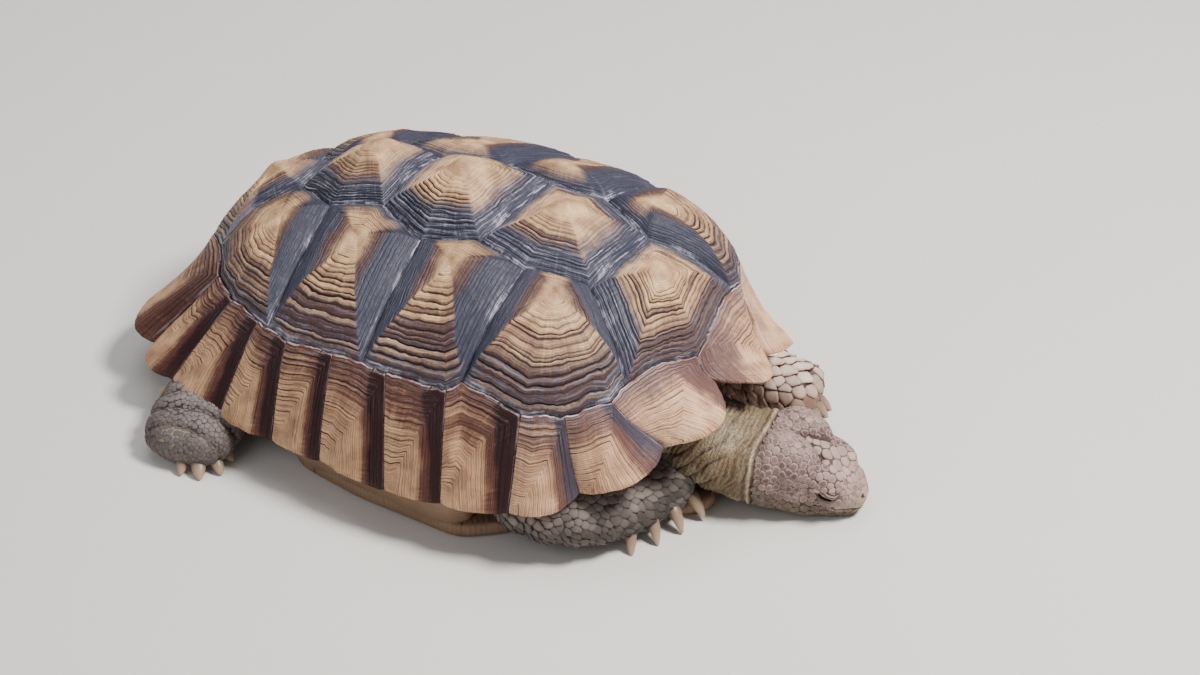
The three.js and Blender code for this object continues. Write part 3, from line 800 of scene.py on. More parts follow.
@dataclass
class RaisedScute:
    """A vertebral or costal scute: a blunt pyramid of growth ridges round its areola.

    Point (r, k): centre + r * (outline point k - centre), rounded for small r, lifted off the dome by
    relief * (1 - r^slope) + full * 4 r (1 - r), by the knob and by the ridges.
    """

    name: str
    centre: tuple[float, float]
    relief: float
    full: float
    ring: Array
    facets: list[Facet]
    seed: int
    ridges: int = 15
    knob: float = 4.6
    knob_reach: float = 12.0
    spacing: float = 2.3
    ridge: float = 1.25
    roll: float = 1.2
    valley: float = 1.7
    slope: float = 1.12
    blunt: float = 0.05  # share of the way over which the tip is rounded

    def outline(self) -> tuple[Array, Array]:
        """Points along the seams about one spacing apart, and the share of each facet at each point."""
        ends = np.roll(self.ring, -1, axis=0)
        counts = np.maximum(np.round(np.linalg.norm(ends - self.ring, axis=1) / self.spacing), 2).astype(int)
        owner = np.repeat(np.arange(len(counts)), counts)
        first = np.concatenate([[0], np.cumsum(counts)[:-1]])
        t = (np.arange(len(owner)) - first[owner]) / counts[owner]
        line = blend(self.ring[owner], ends[owner], t[:, None])
        own = np.zeros((len(owner), len(self.facets)))
        own[np.arange(len(owner)), owner] = 1.0
        crown = np.array([facet is Facet.CROWN for facet in self.facets])
        if crown.any():
            inside = smooth_step(0.5, 0.95, blur_ring(own[:, crown].sum(axis=1, keepdims=True), 7.0))
            given = own[:, crown] * (1 - inside)
            own[:, crown] -= given
            own[:, self.facets.index(Facet.FLANK)] += given.sum(axis=1)
        return line, blur_ring(own, 1.1)

    def pigment(self, r: Array, own: Array, groove: Array, stripe: Array, shade: Array, plan: Array) -> Array:
        """Brown, dark, groove and chalk at every point.

        Args:
            r: Share of the way to the seam, rows by columns.
            own: Share of each facet in each column.
            groove: Groove of each row.
            stripe: Pale stripe of each row.
            shade: How much browner each row is.
            plan: Plan place of every point.

        Returns:
            The four amounts along a new last axis.
        """
        shaken = r + 0.05 * Grain(self.seed + 5, 16.0).at(plan) + 0.02 * Grain(self.seed + 6, 4.0).at(plan)
        tints = sum(facet.value.at(shaken) * own[None, :, k, None] for k, facet in enumerate(self.facets))
        uneven = 0.82 + 0.5 * Grain(self.seed + 7, 9.0).at(plan) + 0.3 * Grain(self.seed + 8, 3.0).at(plan)
        tints[..., 0] += 0.36 * shade[:, None] * tints[..., 2] * smooth_step(0.1, 0.4, r)
        tints[..., 2] *= groove[:, None] * np.clip(uneven, 0.1, 1.2)
        tints[..., 3] *= np.where(shaken < 0.95, 0.25 + 0.75 * stripe[:, None], 1.0)
        return np.clip(tints, 0, 1)

    def build(self, material: bpy.types.Material) -> bpy.types.Object:
        """Builds the scute as one closed mesh: its face, then its underside."""
        line, own = self.outline()
        centre = np.array(self.centre)
        place, height, groove, stripe, shade = GrowthRows(self.seed, self.ridges).rows()
        sharp = line - centre
        reach = np.linalg.norm(sharp, axis=1)
        r = place[:, None] * np.ones(len(line))
        spokes = blend(blur_ring(sharp, 6.0)[None], sharp[None], smooth_step(0.1, 0.42, r)[..., None])
        flat = centre + r[..., None] * spokes
        waver = 0.016 * Grain(self.seed, 24.0).at(flat) + 0.007 * Grain(self.seed + 1, 6.0).at(flat)
        bent = r + 4 * r * (1 - r) * waver
        plan = DOME.drift(centre + bent[..., None] * spokes)
        lift = self.relief * (1 - (bent**2 + self.blunt**2) ** (self.slope / 2))
        lift = lift + self.full * 4 * bent * (1 - bent)
        firm = np.clip(own @ np.array([facet.value.groove[-1][1] for facet in self.facets]), 0.3, 1.0)
        edge = (1 - r) * reach
        lift += self.ridge * height[:, None] * firm * smooth_step(0.1, 0.35, r)
        lift += self.knob * bell(bent * reach, 0.0, self.knob_reach)
        lift -= self.valley * np.exp(-edge / 6.0)
        lift += 0.35 * Grain(self.seed + 2, 18.0).at(flat) + 0.12 * Grain(self.seed + 3, 2.5).at(flat)
        lift -= self.roll * np.exp(-edge / 1.2)
        growth = np.concatenate([np.broadcast_to(unit(sharp), r.shape + (2,)), r[..., None]], axis=-1)
        pigment = self.pigment(r, own, groove, stripe, shade, flat)
        surface = Surface()
        points = DOME.on(plan) + DOME.normal(plan) * lift[..., None]
        body = surface.add(points, pigment=pigment, growth=growth)
        surface.grid(body, closed=True)
        apex = DOME.drift(centre[None])
        top, up = DOME.on(apex), DOME.normal(apex)
        plain = dict(pigment=np.zeros((1, 4)), growth=np.zeros((1, 3)))
        surface.cap(body[0], top + up * (self.relief * (1 - self.blunt**self.slope) + self.knob), **plain)
        low = DOME.drift(centre + np.array([1.0, 0.66, 0.33])[:, None, None] * sharp)
        under = surface.add(
            DOME.on(low) - DOME.normal(low) * UNDER,
            pigment=np.broadcast_to(pigment[-1], low.shape[:2] + (4,)),
            growth=np.broadcast_to(growth[-1], low.shape[:2] + (3,)))
        surface.grid(np.concatenate([body[-1:], under]), closed=True)
        surface.cap(under[-1][::-1], top - up * UNDER, **plain)
        slot = self.name.split("_")[0] + "_horn"
        return make_piece(self.name + "_horn", surface, material, slot, (self.name,))


@dataclass
class Carapace:
    """All raised scutes: five vertebrals along the back and four costals on each side."""

    # x of the growth centre, relief, fullness, seam corners, facets along the left seams from the front
    vertebrals: tuple = (
        (158, 17.5, 2, "nape napeSide v12", "FOOT SIDE"), (81, 22.5, 1, "v12 v2side v23", "SIDE SIDE"),
        (-9, 23, 1, "v23 v3side v34", "SIDE SIDE"), (-87, 21, 1, "v34 v4side v45", "SIDE SIDE"),
        (-187, 15, 2, "v45 v5waist v5side rumpSide rump", "SIDE REAR FOOT FOOT"),
    )
    # the same with x and y of the growth centre, and all seams
    costals: tuple = (
        (117, 64, 4, 7, "v12 napeSide shoulder m23 m34 c12 v2side", "FLANK FOOT FOOT FOOT FOOT FLANK CROWN"),
        (34, 72, 4, 7, "v23 v2side c12 m45 m56 c23 v3side", "CROWN FLANK FOOT FOOT FOOT FLANK CROWN"),
        (-55, 72, 4, 7, "v34 v3side c23 m67 m78 c34 v4side", "CROWN FLANK FOOT FOOT FOOT FLANK CROWN"),
        (-130, 68, 4, 6, "v45 v4side c34 m89 m910 m1011 v5side v5waist",
         "CROWN FLANK FOOT FOOT FOOT REAR REAR REAR"),
    )

    def scutes(self) -> list[RaisedScute]:
        """Lays out every raised scute."""
        found = []
        for number, (x, relief, full, names, looks) in enumerate(self.vertebrals, start=1):
            left, right = corners(names, 1), corners(names, -1)[::-1]
            # a corner on the midline stands for both sides
            right = right[:-1] if left[0, 1] == 0 else right
            left = left[:-1] if left[-1, 1] == 0 else left
            half = [Facet[look] for look in looks.split()]
            closing = [] if number == 1 else [Facet.END]
            across = [] if names.endswith("rump") else [Facet.END]
            found.append(RaisedScute(
                f"vertebral_{number}", (x, 0), relief, full, np.concatenate([left, right]),
                half + across + half[::-1] + closing, 100 * number))
        for number, (x, y, relief, full, names, looks) in enumerate(self.costals, start=1):
            for side, sign in SIDES:
                found.append(RaisedScute(
                    f"costal_{number}_{side}", (x, y * sign), relief, full, corners(names, sign),
                    [Facet[look] for look in looks.split()], 1000 + 100 * number + sign))
        return found

    def build(self) -> None:
        """Builds every raised scute."""
        horn = CARAPACE_HORN.make()
        for scute in self.scutes():
            scute.build(horn)


# ---------------------------------------------------------------- rim


def seam_points(line: Array) -> Array:
    """Splits the legs of an open line into pieces about as long as the seam segment."""
    legs = []
    for a, b in zip(line[:-1], line[1:]):
        count = max(1, round(float(np.linalg.norm(b - a)) / SEAM_SEGMENT))
        legs.append(blend(a, b, (np.arange(count) / count)[:, None]))
    return np.concatenate([*legs, line[-1:]])


@dataclass
class RimScute:
    """A marginal scute: a plate from the seam under the costals out to the rim of the shell.

    Outer face at (u, t): straight from the seam point to the rim point at u, raised by
    hollow * 4 t (1 - t) square to the run. Its growth rings start at the rear lower corner, so that
    each ring is an L: point (r, s) = corner + r * (point s on the far two edges - corner).
    """

    name: str
    names: str
    sign: int
    start: Three
    stop: Three
    bow: float
    peak: float
    seed: int
    band: float = 1.0  # strength of the dark band along the front edge
    curl: float = 0.0  # how far the outer part turns up
    bleach: float = 0.0  # how much of its brown is missing
    hollow: Three = (-4.0, 4.0, -2.0)
    lip: float = 5.0
    lip_back: float = 1.5
    root_thick: float = 9.0
    fullness: float = 0.8
    ridge: float = 0.5
    home: tuple[float, float] = (1.0, 0.0)  # where the rings start, in (u, 1 - t)
    bound: Curve = ((1.0, 1.0), (0.0, 1.0), (0.0, 0.0))  # the far edges, in (u, 1 - t)
    columns: int = 96

    def upper(self) -> Array:
        """Plan corners of the upper seam."""
        return corners(self.names, self.sign)

    def seam(self, u: Array) -> Array:
        """Plan places along the upper seam."""
        points = seam_points(self.upper())
        at = np.clip(u, 0, 1) * (len(points) - 1)
        return np.stack([np.interp(at, np.arange(len(points)), points[:, k]) for k in (0, 1)], axis=-1)

    def rim(self, u: Array) -> Array:
        """Points of the rim: the chord between two rim corners, bowed outward by a warped sine."""
        a, b = (np.array(p) * (1, self.sign, 1) for p in (self.start, self.stop))
        chord = unit(np.array([b[0] - a[0], b[1] - a[1], 0.0]))
        out = np.array([-chord[1], chord[0], 0.0])
        out = out if out @ a > 0 else -out
        warp = math.log(0.5) / math.log(self.peak)
        inside = np.clip(u, 0, 1)
        swell = np.sin(np.pi * np.clip(inside**warp, 0, 1)) ** self.fullness
        return a + (b - a) * inside[..., None] + out * (self.bow * swell)[..., None]

    def run(self, u: Array) -> tuple[Array, Array, Array, Array, Array]:
        """Seam point, rim point, raising direction, outward direction and plan of the seam at u."""
        plan = DOME.drift(self.seam(u))
        top = DOME.on(plan)
        rim = self.rim(u)
        rim[..., :2] = DOME.drift(rim[..., :2])
        out = unit((rim - top) * (1.0, 1.0, 0.0))
        flat = np.stack([-out[..., 1], out[..., 0], np.zeros_like(u)], axis=-1)
        normal = unit(np.cross(flat, rim - top))
        normal = normal * np.where(normal[..., 2:] < 0, -1.0, 1.0)
        return top, rim, normal, out, plan

    def turned(self, u: Array, t: Array) -> Array:
        """How far the plate turns up at (u, t)."""
        return self.curl * smooth_step(0.35, 1.0, t) ** 2 * np.sin(np.pi * np.clip(u, 0, 1))

    def outer(self, u: Array, t: Array, lift: Array) -> Array:
        """The outer face at (u, t), lifted off it."""
        top, rim, normal, _, plan = self.run(u)
        swell = DOME.around(plan, self.hollow) * 4 * t * (1 - t)
        return blend(top, rim, t[..., None]) + normal * (swell + lift + self.turned(u, t))[..., None]

    def inner(self, u: Array, t: Array) -> Array:
        """The inner face at (u, t): seam thickness, root thickness halfway, lip thickness at the rim."""
        top, rim, normal, out, plan = self.run(u)
        thick = np.interp(t, (0, 0.5, 0.85, 1), (UNDER, self.root_thick, self.lip + 1.5, self.lip))[..., None]
        down = blend(-DOME.normal(plan), -normal, smooth_step(0, 0.4, t)[..., None])
        back = (self.lip_back * smooth_step(0.7, 1.0, t))[..., None]
        face = blend(top, rim, t[..., None]) + down * thick
        return face + normal * self.turned(u, t)[..., None] - out * back

    def pigment(self, a: Array, b: Array, groove: Array, stripe: Array, shade: Array, plan: Array) -> Array:
        """Brown, dark, groove and chalk: a dark band along the front, browner towards the upper seam."""
        shake = 0.07 * Grain(self.seed + 1, 15.0).at(plan) + 0.03 * Grain(self.seed + 2, 4.0).at(plan)
        place = a + shake + 0.1 * smooth_step(0.3, 1.0, b)
        dark = smooth_step(0.7, 0.92, place) * self.band * (0.7 + 0.3 * smooth_step(0.0, 0.3, b))
        red = smooth_step(0.54, 0.78, place)
        upper = smooth_step(0.36, 0.95, b + 1.6 * shake)
        brown = np.maximum(0.85 * red, 0.8 * upper) + 0.12 * smooth_step(0.2, 0.5, a + 2 * shake)
        brown = brown + 0.3 * shade[:, None] * np.where(a > b, 0.4, 1.0)
        dark = np.maximum(dark, 0.34 * smooth_step(0.74, 1.0, b + shake))
        rear = smooth_step(0.045, 0.0, a)
        chalk = np.maximum(0.7 * smooth_step(0.955, 1.0, b), 0.7 * rear)
        chalk = np.maximum(chalk, 0.5 * smooth_step(0.975, 1.0, a))
        streak = (0.3 * stripe[:, None] + 0.12) * smooth_step(0.5, 0.95, b) * (1 - 0.6 * dark)
        chalk = np.maximum(chalk, streak)
        brown = brown * (1 - self.bleach)
        weak = np.where(a > b, 0.5, 1.1)
        cut = groove[:, None] * weak * np.clip(0.8 + 0.5 * Grain(self.seed + 3, 8.0).at(plan), 0.15, 1.1)
        return np.clip(np.stack([brown, dark, cut * 0.8, chalk], axis=-1), 0, 1)

    def lift(self, height: Array, r: Array, u: Array, t: Array, plan: Array) -> Array:
        """Ridges and unevenness of the outer face, rounded off at its four edges."""
        # u runs over about 50 mm and t over 55 to 60 mm; the edges round off within 1.0 to 1.4 mm
        total = self.ridge * height[:, None] * smooth_step(0.05, 0.3, r)
        total = total + 0.5 * Grain(self.seed + 4, 20.0).at(plan) * smooth_step(1.0, 0.9, t)
        total -= 1.1 * np.exp(-t * 55 / 1.2)
        total -= 0.8 * (np.exp(-u * 50 / 1.0) + np.exp(-(1 - u) * 50 / 1.0)) * smooth_step(1.0, 0.85, t)
        return total - 0.9 * np.exp(-(1 - t) * 60 / 1.4)

    def build(self, material: bpy.types.Material) -> bpy.types.Object:
        """Builds the scute as one closed mesh: its outer face, a skirt round it, and its inner face."""
        place, height, groove, stripe, shade = GrowthRows(self.seed, ridges=17, start=0.1, end=0.985).rows()
        s = np.linspace(0, 1, self.columns)
        home = np.array(self.home)
        r = np.broadcast_to(place[:, None], (len(place), len(s)))
        along = np.stack([np.broadcast_to(s, r.shape), r * 0.5], axis=-1)
        sway = 0.02 * np.sin(7 * s + self.seed) + 0.014 * Grain(self.seed, 0.11).at(along)
        waver = 4 * r * (1 - r) * sway
        flat = np.clip(home + (r + waver)[..., None] * (along_line(np.array(self.bound), s) - home), 0, 1)
        u, b = flat[..., 0], flat[..., 1]
        plan = self.outer(u, 1 - b, np.zeros_like(u))[..., :2]
        points = self.outer(u, 1 - b, self.lift(height, r, u, 1 - b, plan))
        growth = np.stack([np.broadcast_to(s * 2.0, r.shape), np.broadcast_to(s * 0.4, r.shape), r], axis=-1)
        pigment = self.pigment(1 - u, b, groove, stripe, shade, plan)
        surface = Surface()
        body = surface.add(points, pigment=pigment, growth=growth)
        surface.grid(body)
        corner = np.full(1, self.home[0]), np.full(1, 1 - self.home[1])
        tip = self.outer(*corner, np.full(1, -0.9))
        root = surface.add(tip, pigment=pigment[:1, :1], growth=growth[:1, :1])
        surface.fan(root[0], body[0], closed=False)

        def around(grid: Array, last: Array) -> Array:
            """Values once round the border of the outer face, ending at the corner where the rings start."""
            return np.concatenate([grid[:, 0], grid[-1, 1:], grid[-2::-1, -1], last])

        loop, loop_points = around(body, root), around(points, tip)
        loop_u, loop_t = around(u, corner[0]), around(1 - b, corner[1])
        loop_pigment, loop_growth = around(pigment, pigment[0, :1]), around(growth, growth[0, :1])
        inner = self.inner(loop_u, loop_t)
        bulge = (1.6 * smooth_step(0.93, 1.0, loop_t))[:, None] * self.run(loop_u)[3]
        skirt_points = np.stack([
            blend(loop_points, inner, k) + bulge * math.sin(math.pi * min(k, 0.97)) ** 0.8
            for k in (0.12, 0.35, 0.65, 0.9, 1.0)])
        skirt = surface.add(
            skirt_points, growth=np.broadcast_to(loop_growth, skirt_points.shape),
            pigment=np.broadcast_to(loop_pigment * (1, 1, 0.2, 0.5), skirt_points.shape[:2] + (4,)))
        surface.grid(np.concatenate([loop[None], skirt]), closed=True)
        shrink = np.array([0.75, 0.45, 0.2])[:, None]
        under_u, under_t = 0.5 + (loop_u - 0.5) * shrink, 0.5 + (loop_t - 0.5) * shrink
        under_pigment = np.broadcast_to(loop_pigment * (1, 0.4, 0, 0.2), under_u.shape + (4,))
        under = surface.add(
            self.inner(under_u, under_t), pigment=under_pigment,
            growth=np.broadcast_to(loop_growth, under_u.shape + (3,)))
        surface.grid(np.concatenate([skirt[-1:], under]), closed=True)
        middle = np.full(1, 0.5)
        surface.cap(
            under[-1][::-1], self.inner(middle, middle),
            pigment=under_pigment[-1, :1], growth=loop_growth[:1])
        return make_piece(self.name + "_horn", surface, material, "marginal_horn", (self.name,))


@dataclass
class TailScute(RimScute):
    """The undivided plate over the tail, its rings starting at the middle of its rim."""

    dent: float = 5.0

    def upper(self) -> Array:
        """Plan corners of the upper seam, right to left."""
        side = corners("rumpSide", -1)
        return np.concatenate([side, corners("rump", 1), side * (1, -1)])

    def rim(self, u: Array) -> Array:
        """Rim points: from the middle to each side corner, bowed back between them."""
        w = 2 * np.clip(u, 0, 1) - 1
        t = np.abs(w)
        p = blend(np.array(self.stop), np.array(self.start), t[..., None])
        p[..., 0] -= self.dent * 4 * (1 - t) * t
        p[..., 1] *= np.sign(w)
        return p

    def pigment(self, a: Array, b: Array, groove: Array, stripe: Array, shade: Array, plan: Array) -> Array:
        """Amber at the rim, browner at the seams."""
        shake = 0.06 * Grain(self.seed + 1, 15.0).at(plan)
        side = np.abs(2 * a - 1) + shake
        brown = np.maximum(0.8 * smooth_step(0.45, 0.95, b + shake), 0.6 * smooth_step(0.6, 0.95, side))
        brown = brown + 0.22 * shade[:, None]
        dark = np.maximum(0.35 * smooth_step(0.85, 1.0, b), 0.4 * smooth_step(0.85, 1.0, side))
        chalk = np.maximum(0.8 * smooth_step(0.95, 1.0, b), 0.7 * smooth_step(0.96, 1.0, side))
        cut = groove[:, None] * np.clip(0.7 + 0.6 * Grain(self.seed + 3, 8.0).at(plan), 0.05, 1.1)
        return np.clip(np.stack([brown, dark, cut * 0.7, chalk], axis=-1), 0, 1)


@dataclass
class Rim:
    """The ring of marginals and the supracaudal that closes it behind."""

    points: tuple = (
        (214, 0, 107), (216, 66, 90), (178, 119, 61), (138, 155, 48), (88, 170, 43), (43, 179, 41),
        (-19, 178, 40), (-65, 178, 39), (-118, 175, 38), (-176, 163, 38), (-212, 138, 44), (-254, 56, 36),
        (-262, 0, 34),
    )
    # seam corners, bow of the rim, its peak along the plate, and strength of the dark band
    plates: tuple = (
        ("nape napeSide shoulder", 28, 0.5, 0.3), ("shoulder m23", 20, 0.42, 0.75),
        ("m23 m34", 14, 0.45, 0.85), ("m34 c12 m45", 5, 0.5, 1.0), ("m45 m56", 3, 0.5, 1.0),
        ("m56 c23 m67", 3, 0.5, 1.0),
        ("m67 m78", 3, 0.5, 1.0), ("m78 c34 m89", 5, 0.5, 1.0), ("m89 m910", 9, 0.55, 0.9),
        ("m910 m1011", 13, 0.55, 0.7), ("m1011 v5side rumpSide", 24, 0.38, 0.45),
    )
    bleached: int = 3  # the front plates are paler, with lavender bands

    def build(self) -> None:
        """Builds all rim scutes."""
        amber, pale = RIM_HORN.make(), FRONT_RIM_HORN.make()
        for number, (names, bow, peak, band) in enumerate(self.plates, start=1):
            for side, sign in SIDES:
                scute = RimScute(
                    f"marginal_{number:02d}_{side}", names, sign, self.points[number - 1],
                    self.points[number], bow, peak, 5000 + 10 * number + sign, band,
                    2.0 if number < 3 else 0.0)
                if number == 2 and sign > 0:
                    # the left second plate grew out as a blunt tongue with its tip turned up
                    scute.bow, scute.fullness, scute.curl, scute.band, scute.bleach = 22.0, 0.5, 6.0, 0.3, 0.8
                scute.build(pale if number <= self.bleached else amber)
        TailScute(
            "supracaudal", "rumpSide rump", 1, self.points[-2], self.points[-1], 0, 0.5, 5900, 0.0,
            home=(0.5, 0.0), bound=((0.0, 0.0), (0.0, 1.0), (1.0, 1.0), (1.0, 0.0))).build(amber)


# ---------------------------------------------------------------- flesh


FAR = 40.0  # stands for any distance beyond a part's own box


@dataclass
class Lobes:
    """One part of the flesh as ellipsoids run together.

    Distance to an ellipsoid: k0 (k0 - 1) / k1, with k0 the length of the place over the radii and
    k1 the length of the place over the squared radii.
    """

    name: str
    centres: Array
    radii: Array
    axes: Array
    soft: float = 2.0  # width over which its ellipsoids run together
    join: float = 6.0  # width over which it runs into the rest of the flesh
    margin: float = 12.0

    def reach(self) -> Array:
        """Half sizes of each ellipsoid's upright box, with a margin."""
        return np.sqrt(((self.axes * self.radii[..., None]) ** 2).sum(axis=1)) + self.margin

    def distance(self, points: Array) -> Array:
        """Distance of points to the part."""
        total = np.full(points.shape[:-1], FAR)
        for centre, radii, axes, reach in zip(self.centres, self.radii, self.axes, self.reach()):
            near = (np.abs(points - centre) < reach).all(axis=-1)
            if near.any():
                q = (points[near] - centre) @ axes.T
                k0 = np.linalg.norm(q / radii, axis=-1)
                k1 = np.maximum(np.linalg.norm(q / radii**2, axis=-1), 1e-6)
                total[near] = soft_least(total[near], k0 * (k0 - 1) / k1, self.soft)
        return total


def limb_lobes(name: str, stations: list, steps: int = 2, inset: float = 1.6, tip: float = 0.42) -> Lobes:
    """Ellipsoids along a limb's path, each square to it.

    Args:
        name: Name of the part.
        stations: Rows of centre, half width and half height.
        steps: Ellipsoids from one station to the next.
        inset: How far the flesh lies inside the given widths, which include its scales.
        tip: Length of the rounded end over its half width.

    Returns:
        The part.
    """
    rows = np.array([(*centre, wide, high) for centre, wide, high in stations], dtype=float)
    path = smooth_path(rows, steps)
    centres, wide, high = path[:, :3], path[:, 3] - inset, path[:, 4] - inset
    ahead = unit(np.gradient(centres, axis=0))
    across = unit(np.cross([0.0, 0.0, 1.0], ahead))
    axes = np.stack([ahead, across, np.cross(ahead, across)], axis=1)
    left = np.linalg.norm(centres - centres[-1], axis=1) + tip * wide[-1]
    length = np.minimum(0.8 * wide, left)
    return Lobes(name, centres, np.stack([length, wide, high], axis=1), axes)


@dataclass
class Flesh:
    """The whole body's skin as one distance field, negative inside."""

    neck: tuple = (
        ((146, -4, 58), 30, 28), ((188, -3, 51), 34, 31), ((222, 4, 43), 38, 33),
        ((250, 20, 39), 40, 34))
    tail: tuple = (
        ((-196, 0, 50), 19, 17), ((-224, 3, 38), 16, 14), ((-244, 8, 24), 12, 10),
        ((-254, 13, 14), 8, 8))
    foreleg_right: tuple = (
        ((104, -100, 40), 26, 22), ((134, -119, 36), 33, 26), ((162, -106, 31), 34, 26),
        ((179, -80, 25), 32, 25), ((188, -56, 22), 28, 24), ((195, -37, 21), 25, 23),
        ((200, -25, 20), 21, 21))
    foreleg_left: tuple = (
        ((104, 100, 40), 26, 22), ((138, 112, 37), 32, 26), ((174, 114, 27), 29, 24),
        ((206, 115, 24), 27, 22), ((224, 117, 22), 26, 22))
    hindleg_right: tuple = (
        ((-96, -96, 40), 28, 22), ((-132, -132, 34), 42, 30), ((-142, -162, 25), 41, 26),
        ((-138, -186, 19), 39, 21), ((-135, -198, 16), 35, 18))
    hindleg_left: tuple = (
        ((-96, 96, 40), 28, 22), ((-134, 130, 34), 42, 30), ((-147, 156, 25), 41, 26),
        ((-146, 178, 19), 39, 21), ((-145, 190, 16), 35, 18))
    # centre and radii in the head's axes; a y other than 0 stands for both sides
    skull: tuple = (
        ((20, 0, 0), (34, 33.5, 27.5)), ((25, 16.5, 10.5), (25, 19.5, 21.5)), ((28, 18, -8), (26, 18, 20.5)),
        ((50, 0, -2), (26, 26.5, 22)), ((42, 0, 4), (25, 24, 22.5)), ((53, 15.5, 11), (19, 12.5, 11.5)),
        ((66, 13, -4), (13, 9, 9)), ((70, 0, -1.5), (18.5, 18.5, 16.5)), ((70, 8.5, 2), (14.5, 12, 12.5)),
        ((81, 4, -3), (9, 9, 10.5)), ((50, 0, -15), (33, 23, 10.5)), ((36, 16.5, -16.5), (27, 13.5, 12)),
        ((76, 0, -13.5), (12.5, 13, 6)), ((8, 0, -12), (26, 31, 21)), ((14, 18, -19), (26, 18, 15.5)),
        ((-3, 17, -20), (28, 24, 17.5)),
    )
    eye: Three = (61.6, 18.8, 4.2)
    socket: float = 8.7
    trunk_floor: float = 14.0
    trunk_share: Three = (0.53, 0.7, 0.54)
    trunk_wide: float = 0.73
    # two grooves that part on top of the head and run forward, between temples and forehead
    groove: tuple = ((25.0, 0.0), (48.0, 11.0))
    groove_depth: float = 2.4
    groove_width: float = 2.3
    folds: tuple = ((160.0, 1.2), (171.0, 1.8), (184.0, 2.5), (199.0, 2.3))  # y and depth, round a hind leg
    fold_width: float = 1.9

    def parts(self) -> list[Lobes]:
        """Every part as lobes."""
        both = [((x, y * side, z), r) for (x, y, z), r in self.skull for side in ((-1, 1) if y else (1,))]
        local, radii = (np.array(column, dtype=float) for column in zip(*both))
        axes = np.broadcast_to(HEAD.axes(), (len(both), 3, 3))
        names = ("neck", "tail", "foreleg_right", "foreleg_left", "hindleg_right", "hindleg_left")
        head = Lobes("head", HEAD.out(local), radii, axes, soft=3.6, join=4.0)
        return [head, *(limb_lobes(name, getattr(self, name)) for name in names)]

    def trunk(self, points: Array) -> Array:
        """Distance to the body inside the shell: under the dome, drawn in towards the floor."""
        plan, z = points[..., :2], points[..., 2]
        lid = (z - DOME.height(plan) + 9.0) * 0.8
        foot = DOME.around(plan, self.trunk_share)
        share = blend(foot, self.trunk_wide, smooth_step(self.trunk_floor, 62.0, z))
        wall = (DOME.share(plan) - share) * 190.0
        return -soft_least(-np.maximum(lid, wall), z - self.trunk_floor, 6.0)

    def eyes(self) -> Array:
        """Centres of the right and left eye."""
        x, y, z = self.eye
        return HEAD.out(np.array([(x, -y, z), (x, y, z)]))

    def creases(self, points: Array) -> Array:
        """How far deep folds draw the skin in: depth * exp(-(gap / width)^2) for each.

        Args:
            points: Places on or near the skin.

        Returns:
            The depth at each place: the grooves over the head, and four folds round each hind leg.
        """
        depth = np.zeros(points.shape[:-1])
        local = HEAD.local(points)
        x, y, z = np.moveaxis(local, -1, 0)
        near = (x > 12) & (x < 62) & (z > 6) & (np.abs(y) < 32)
        if near.any():
            a, b = np.array(self.groove)
            q = np.stack([x[near], np.abs(y[near])], axis=-1)
            t = np.clip((q - a) @ (b - a) / ((b - a) @ (b - a)), 0, 1)
            gap = np.linalg.norm(q - a - t[:, None] * (b - a), axis=-1)
            depth[near] += self.groove_depth * smooth_step(6, 14, z[near]) * bell(gap, 0.0, self.groove_width)
        out = np.abs(points[..., 1])
        rear = (points[..., 0] < -92) & (points[..., 0] > -200) & (out > 150)
        if rear.any():
            p = points[rear]
            shift = 3.0 * Grain(36, 24.0).at(p) - np.where(p[:, 1] > 0, 8.0, 0.0)
            for place, deep in self.folds:
                gap = out[rear] - place - shift + 0.22 * (p[:, 0] + 140)
                depth[rear] += deep * bell(gap, 0.0, self.fold_width)
        return depth

    def finish(self, total: Array, points: Array) -> Array:
        """Draws in the folds, hollows the eye sockets and flattens the underside on the floor."""
        total = total + self.creases(points)
        for eye in self.eyes():
            total = np.maximum(total, self.socket - np.linalg.norm(points - eye, axis=-1))
        return -soft_least(-total, points[..., 2], 1.5)

    def distance(self, points: Array) -> Array:
        """Distance of points to the skin: all parts run together, then finished."""
        total = self.trunk(points)
        for part in self.parts():
            total = soft_least(total, part.distance(points), part.join)
        return self.finish(total, points)

    def slope(self, points: Array, step: float = 0.25) -> Array:
        """Gradient of the distance, from differences along each axis."""
        sides = [self.distance(points + shift) - self.distance(points - shift) for shift in np.eye(3) * step]
        return np.stack(sides, axis=-1) / (2 * step)

    def settle(self, points: Array, rounds: int = 2) -> tuple[Array, Array]:
        """Moves points onto the skin by Newton steps; returns them with the outward directions there."""
        for _ in range(rounds):
            slope = self.slope(points)
            size = np.maximum((slope**2).sum(axis=-1, keepdims=True), 0.05)
            step = self.distance(points)[..., None] * slope / size
            points = points - np.clip(step, -2.5, 2.5)
        return points, unit(self.slope(points))


def lattice_axis(*runs: tuple[float, float, float]) -> Array:
    """Places along one axis from runs of (from, to, spacing)."""
    return np.concatenate([np.arange(a, b - 1e-6, s) for a, b, s in runs] + [[runs[-1][1]]])


